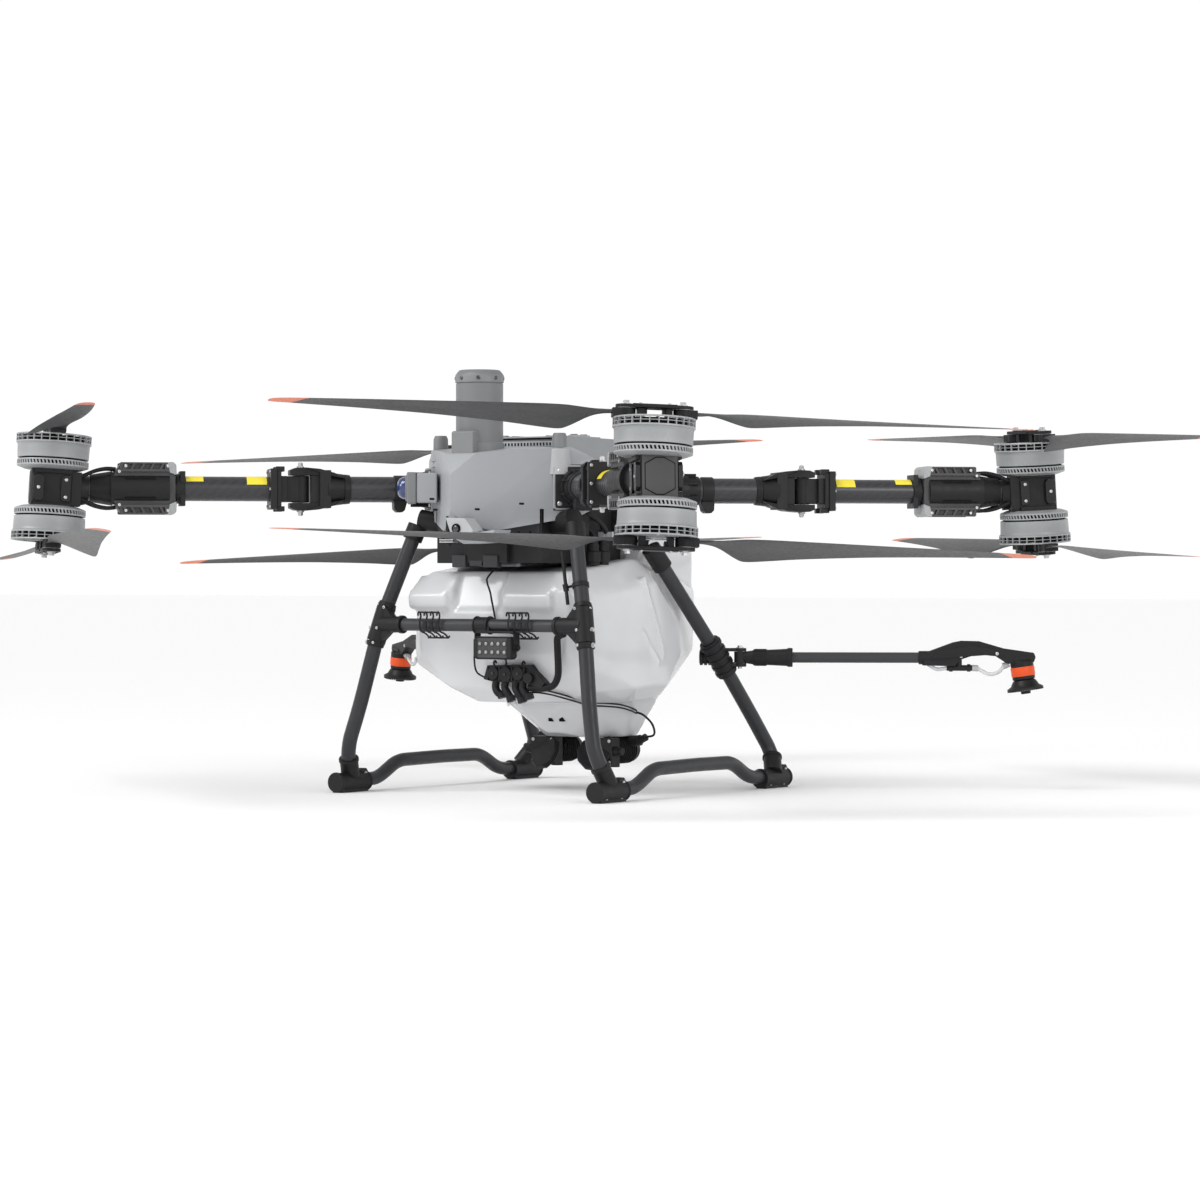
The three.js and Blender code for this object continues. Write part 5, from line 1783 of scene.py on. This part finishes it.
def knurled(radius, from_x, to_x, count=28):
    """A collar along X with fine grip ribs."""
    rib = block((from_x, -1, radius - 1), (to_x, 1, radius + 1.2))
    return merged(rod((from_x - 3, 0, 0), (to_x + 3, 0, 0), radius, 36), ring_of(rib, count, "X"))


def make_booms():
    lean = Matrix.Translation((NOZZLE_END, 0, 0)) @ Matrix.Rotation(-NOZZLE_LEAN, 4, "Y")
    inner = merged(
        turned([(0, -13.4), (14, -13.4), (14, 13.4), (0, 13.4)], 32),
        rod((6, 0, 0), (32, 0, 0), 13, 28, 17),
        knurled(19, 34, 62),
        rod((62, 0, 0), (121, 0, 0), 18, 32, 21),
        rod((112, 0, 0), (124, 0, 0), 22.5, 32),
    )
    stem = rod((118, 0, 0), (440, 0, 0), 12.5, 32)
    bracket = merged(
        slab(BRACKET, -15, 15),
        rod((420, 0, 0), (450, 0, 0), 16, 28),
        slab([(444, -6), (470, 14), (540, 30), (600, 20), (600, 8), (520, 2)], -18, 18),
    )
    head = merged(
        turned([(0, -6), (24, -6), (27, -9), (27, -21), (0, -21)], 40),
        block((-17, -17, -8), (17, 17, 2)),
        turned([(0, -42), (26.5, -42), (26.5, -50), (22, -53), (0, -53)], 40),
    )
    ring = turned([(0, -43), (27, -43), (28, -41), (28, -23), (27, -21), (0, -21)], 48)
    tee = merged(
        rod((486, 0, -24), (548, 0, -24), 7, 20),
        rod((515, 0, -24), (515, 0, -2), 7, 20),
        rod((492, 0, -24), (500, 0, -24), 9.5, 6),
        rod((534, 0, -24), (542, 0, -24), 9.5, 6),
    )
    clips = [((546, 0, -24), (560, 0, -25)), ((618, 0, -20), (632, 0, -14))]
    ferrules = merged(*[rod(start, end, 7.5, 20) for start, end in clips])
    spots = [(x, side, z) for x, z in ((520, 4), (548, 12), (604, 10)) for side in (-1, 1)]
    bracket_screws = [screw((x, side * 15.5, z), (0, side, 0), 4, 2) for x, side, z in spots]
    head_screws = [screw((x, y, 2), (0, 0, 1), 3, 2) for x in (-11, 11) for y in (-11, 11)]
    screws = merged(*bracket_screws, moved(merged(*head_screws), lean))
    feed = [(430, 0, -6), (446, 2, -18), (464, 2, -27), (490, 0, -24)]
    onward = [(558, 0, -25), (584, -2, -38), (606, -2, -34), (622, 0, -18)]
    hoses = merged(tube(smooth_route(feed, 8), 4.5, 16), tube(smooth_route(onward, 8), 4.5, 16))
    rim = [(30, -16.5), (42.5, -14), (42.5, -10), (33, -4), (30, 2), (26, 8)]
    disc = turned([(0, -24), (11, -24), (12, -18), *rim, (0, 8)], 56)
    teeth = ring_of(block((38, -0.8, -16.5), (42.4, 0.8, -9.5)), 48)
    boom = shared(
        ("boom_clamp", inner, "black", 0.8),
        ("boom_tube", stem, "gear", 0),
        ("boom_bracket", bracket, "black", 2),
        ("boom_tee", tee, "black", 0.5),
        ("boom_ferrules", ferrules, "pale", 0.5),
        ("boom_screws", screws, "steel", 0),
        ("boom_hoses", hoses, "clear", 0),
        ("nozzle_head", moved(head, lean), "black", 0.8),
        ("nozzle_ring", moved(ring, lean), "orange", 0),
    )
    atomiser = shared(("atomiser_disc", merged(disc, teeth), "black", 0))
    for side, word in SIDES:
        body = f"boom_{word}"
        pin = pin_of(f"boom_fold_{word}")
        out = (side * math.cos(BOOM_TURN), math.sin(BOOM_TURN), 0)
        put(boom, body, frame_of(pin, out, (0, 0, 1)), word, body)
        spin = JOINTS[f"atomiser_spin_{word}"]
        spinner = f"atomiser_{word}"
        put(atomiser, spinner, frame_of(Vector(spin["pos_m"]), out, spin["axis"]), word, spinner)


# ---- Everything in order -------------------------------------------------------------------

make_camera()
make_stage()
make_lights()
make_rotors()
make_motor_mounts()
make_arms()
make_nose()
make_camera_hood()
make_mast()
make_side_sensor()
make_battery()
make_center_frame()
make_tank()
make_pumps()
make_legs()
make_skids()
make_crossbar()
make_work_light()
make_plumbing()
make_booms()
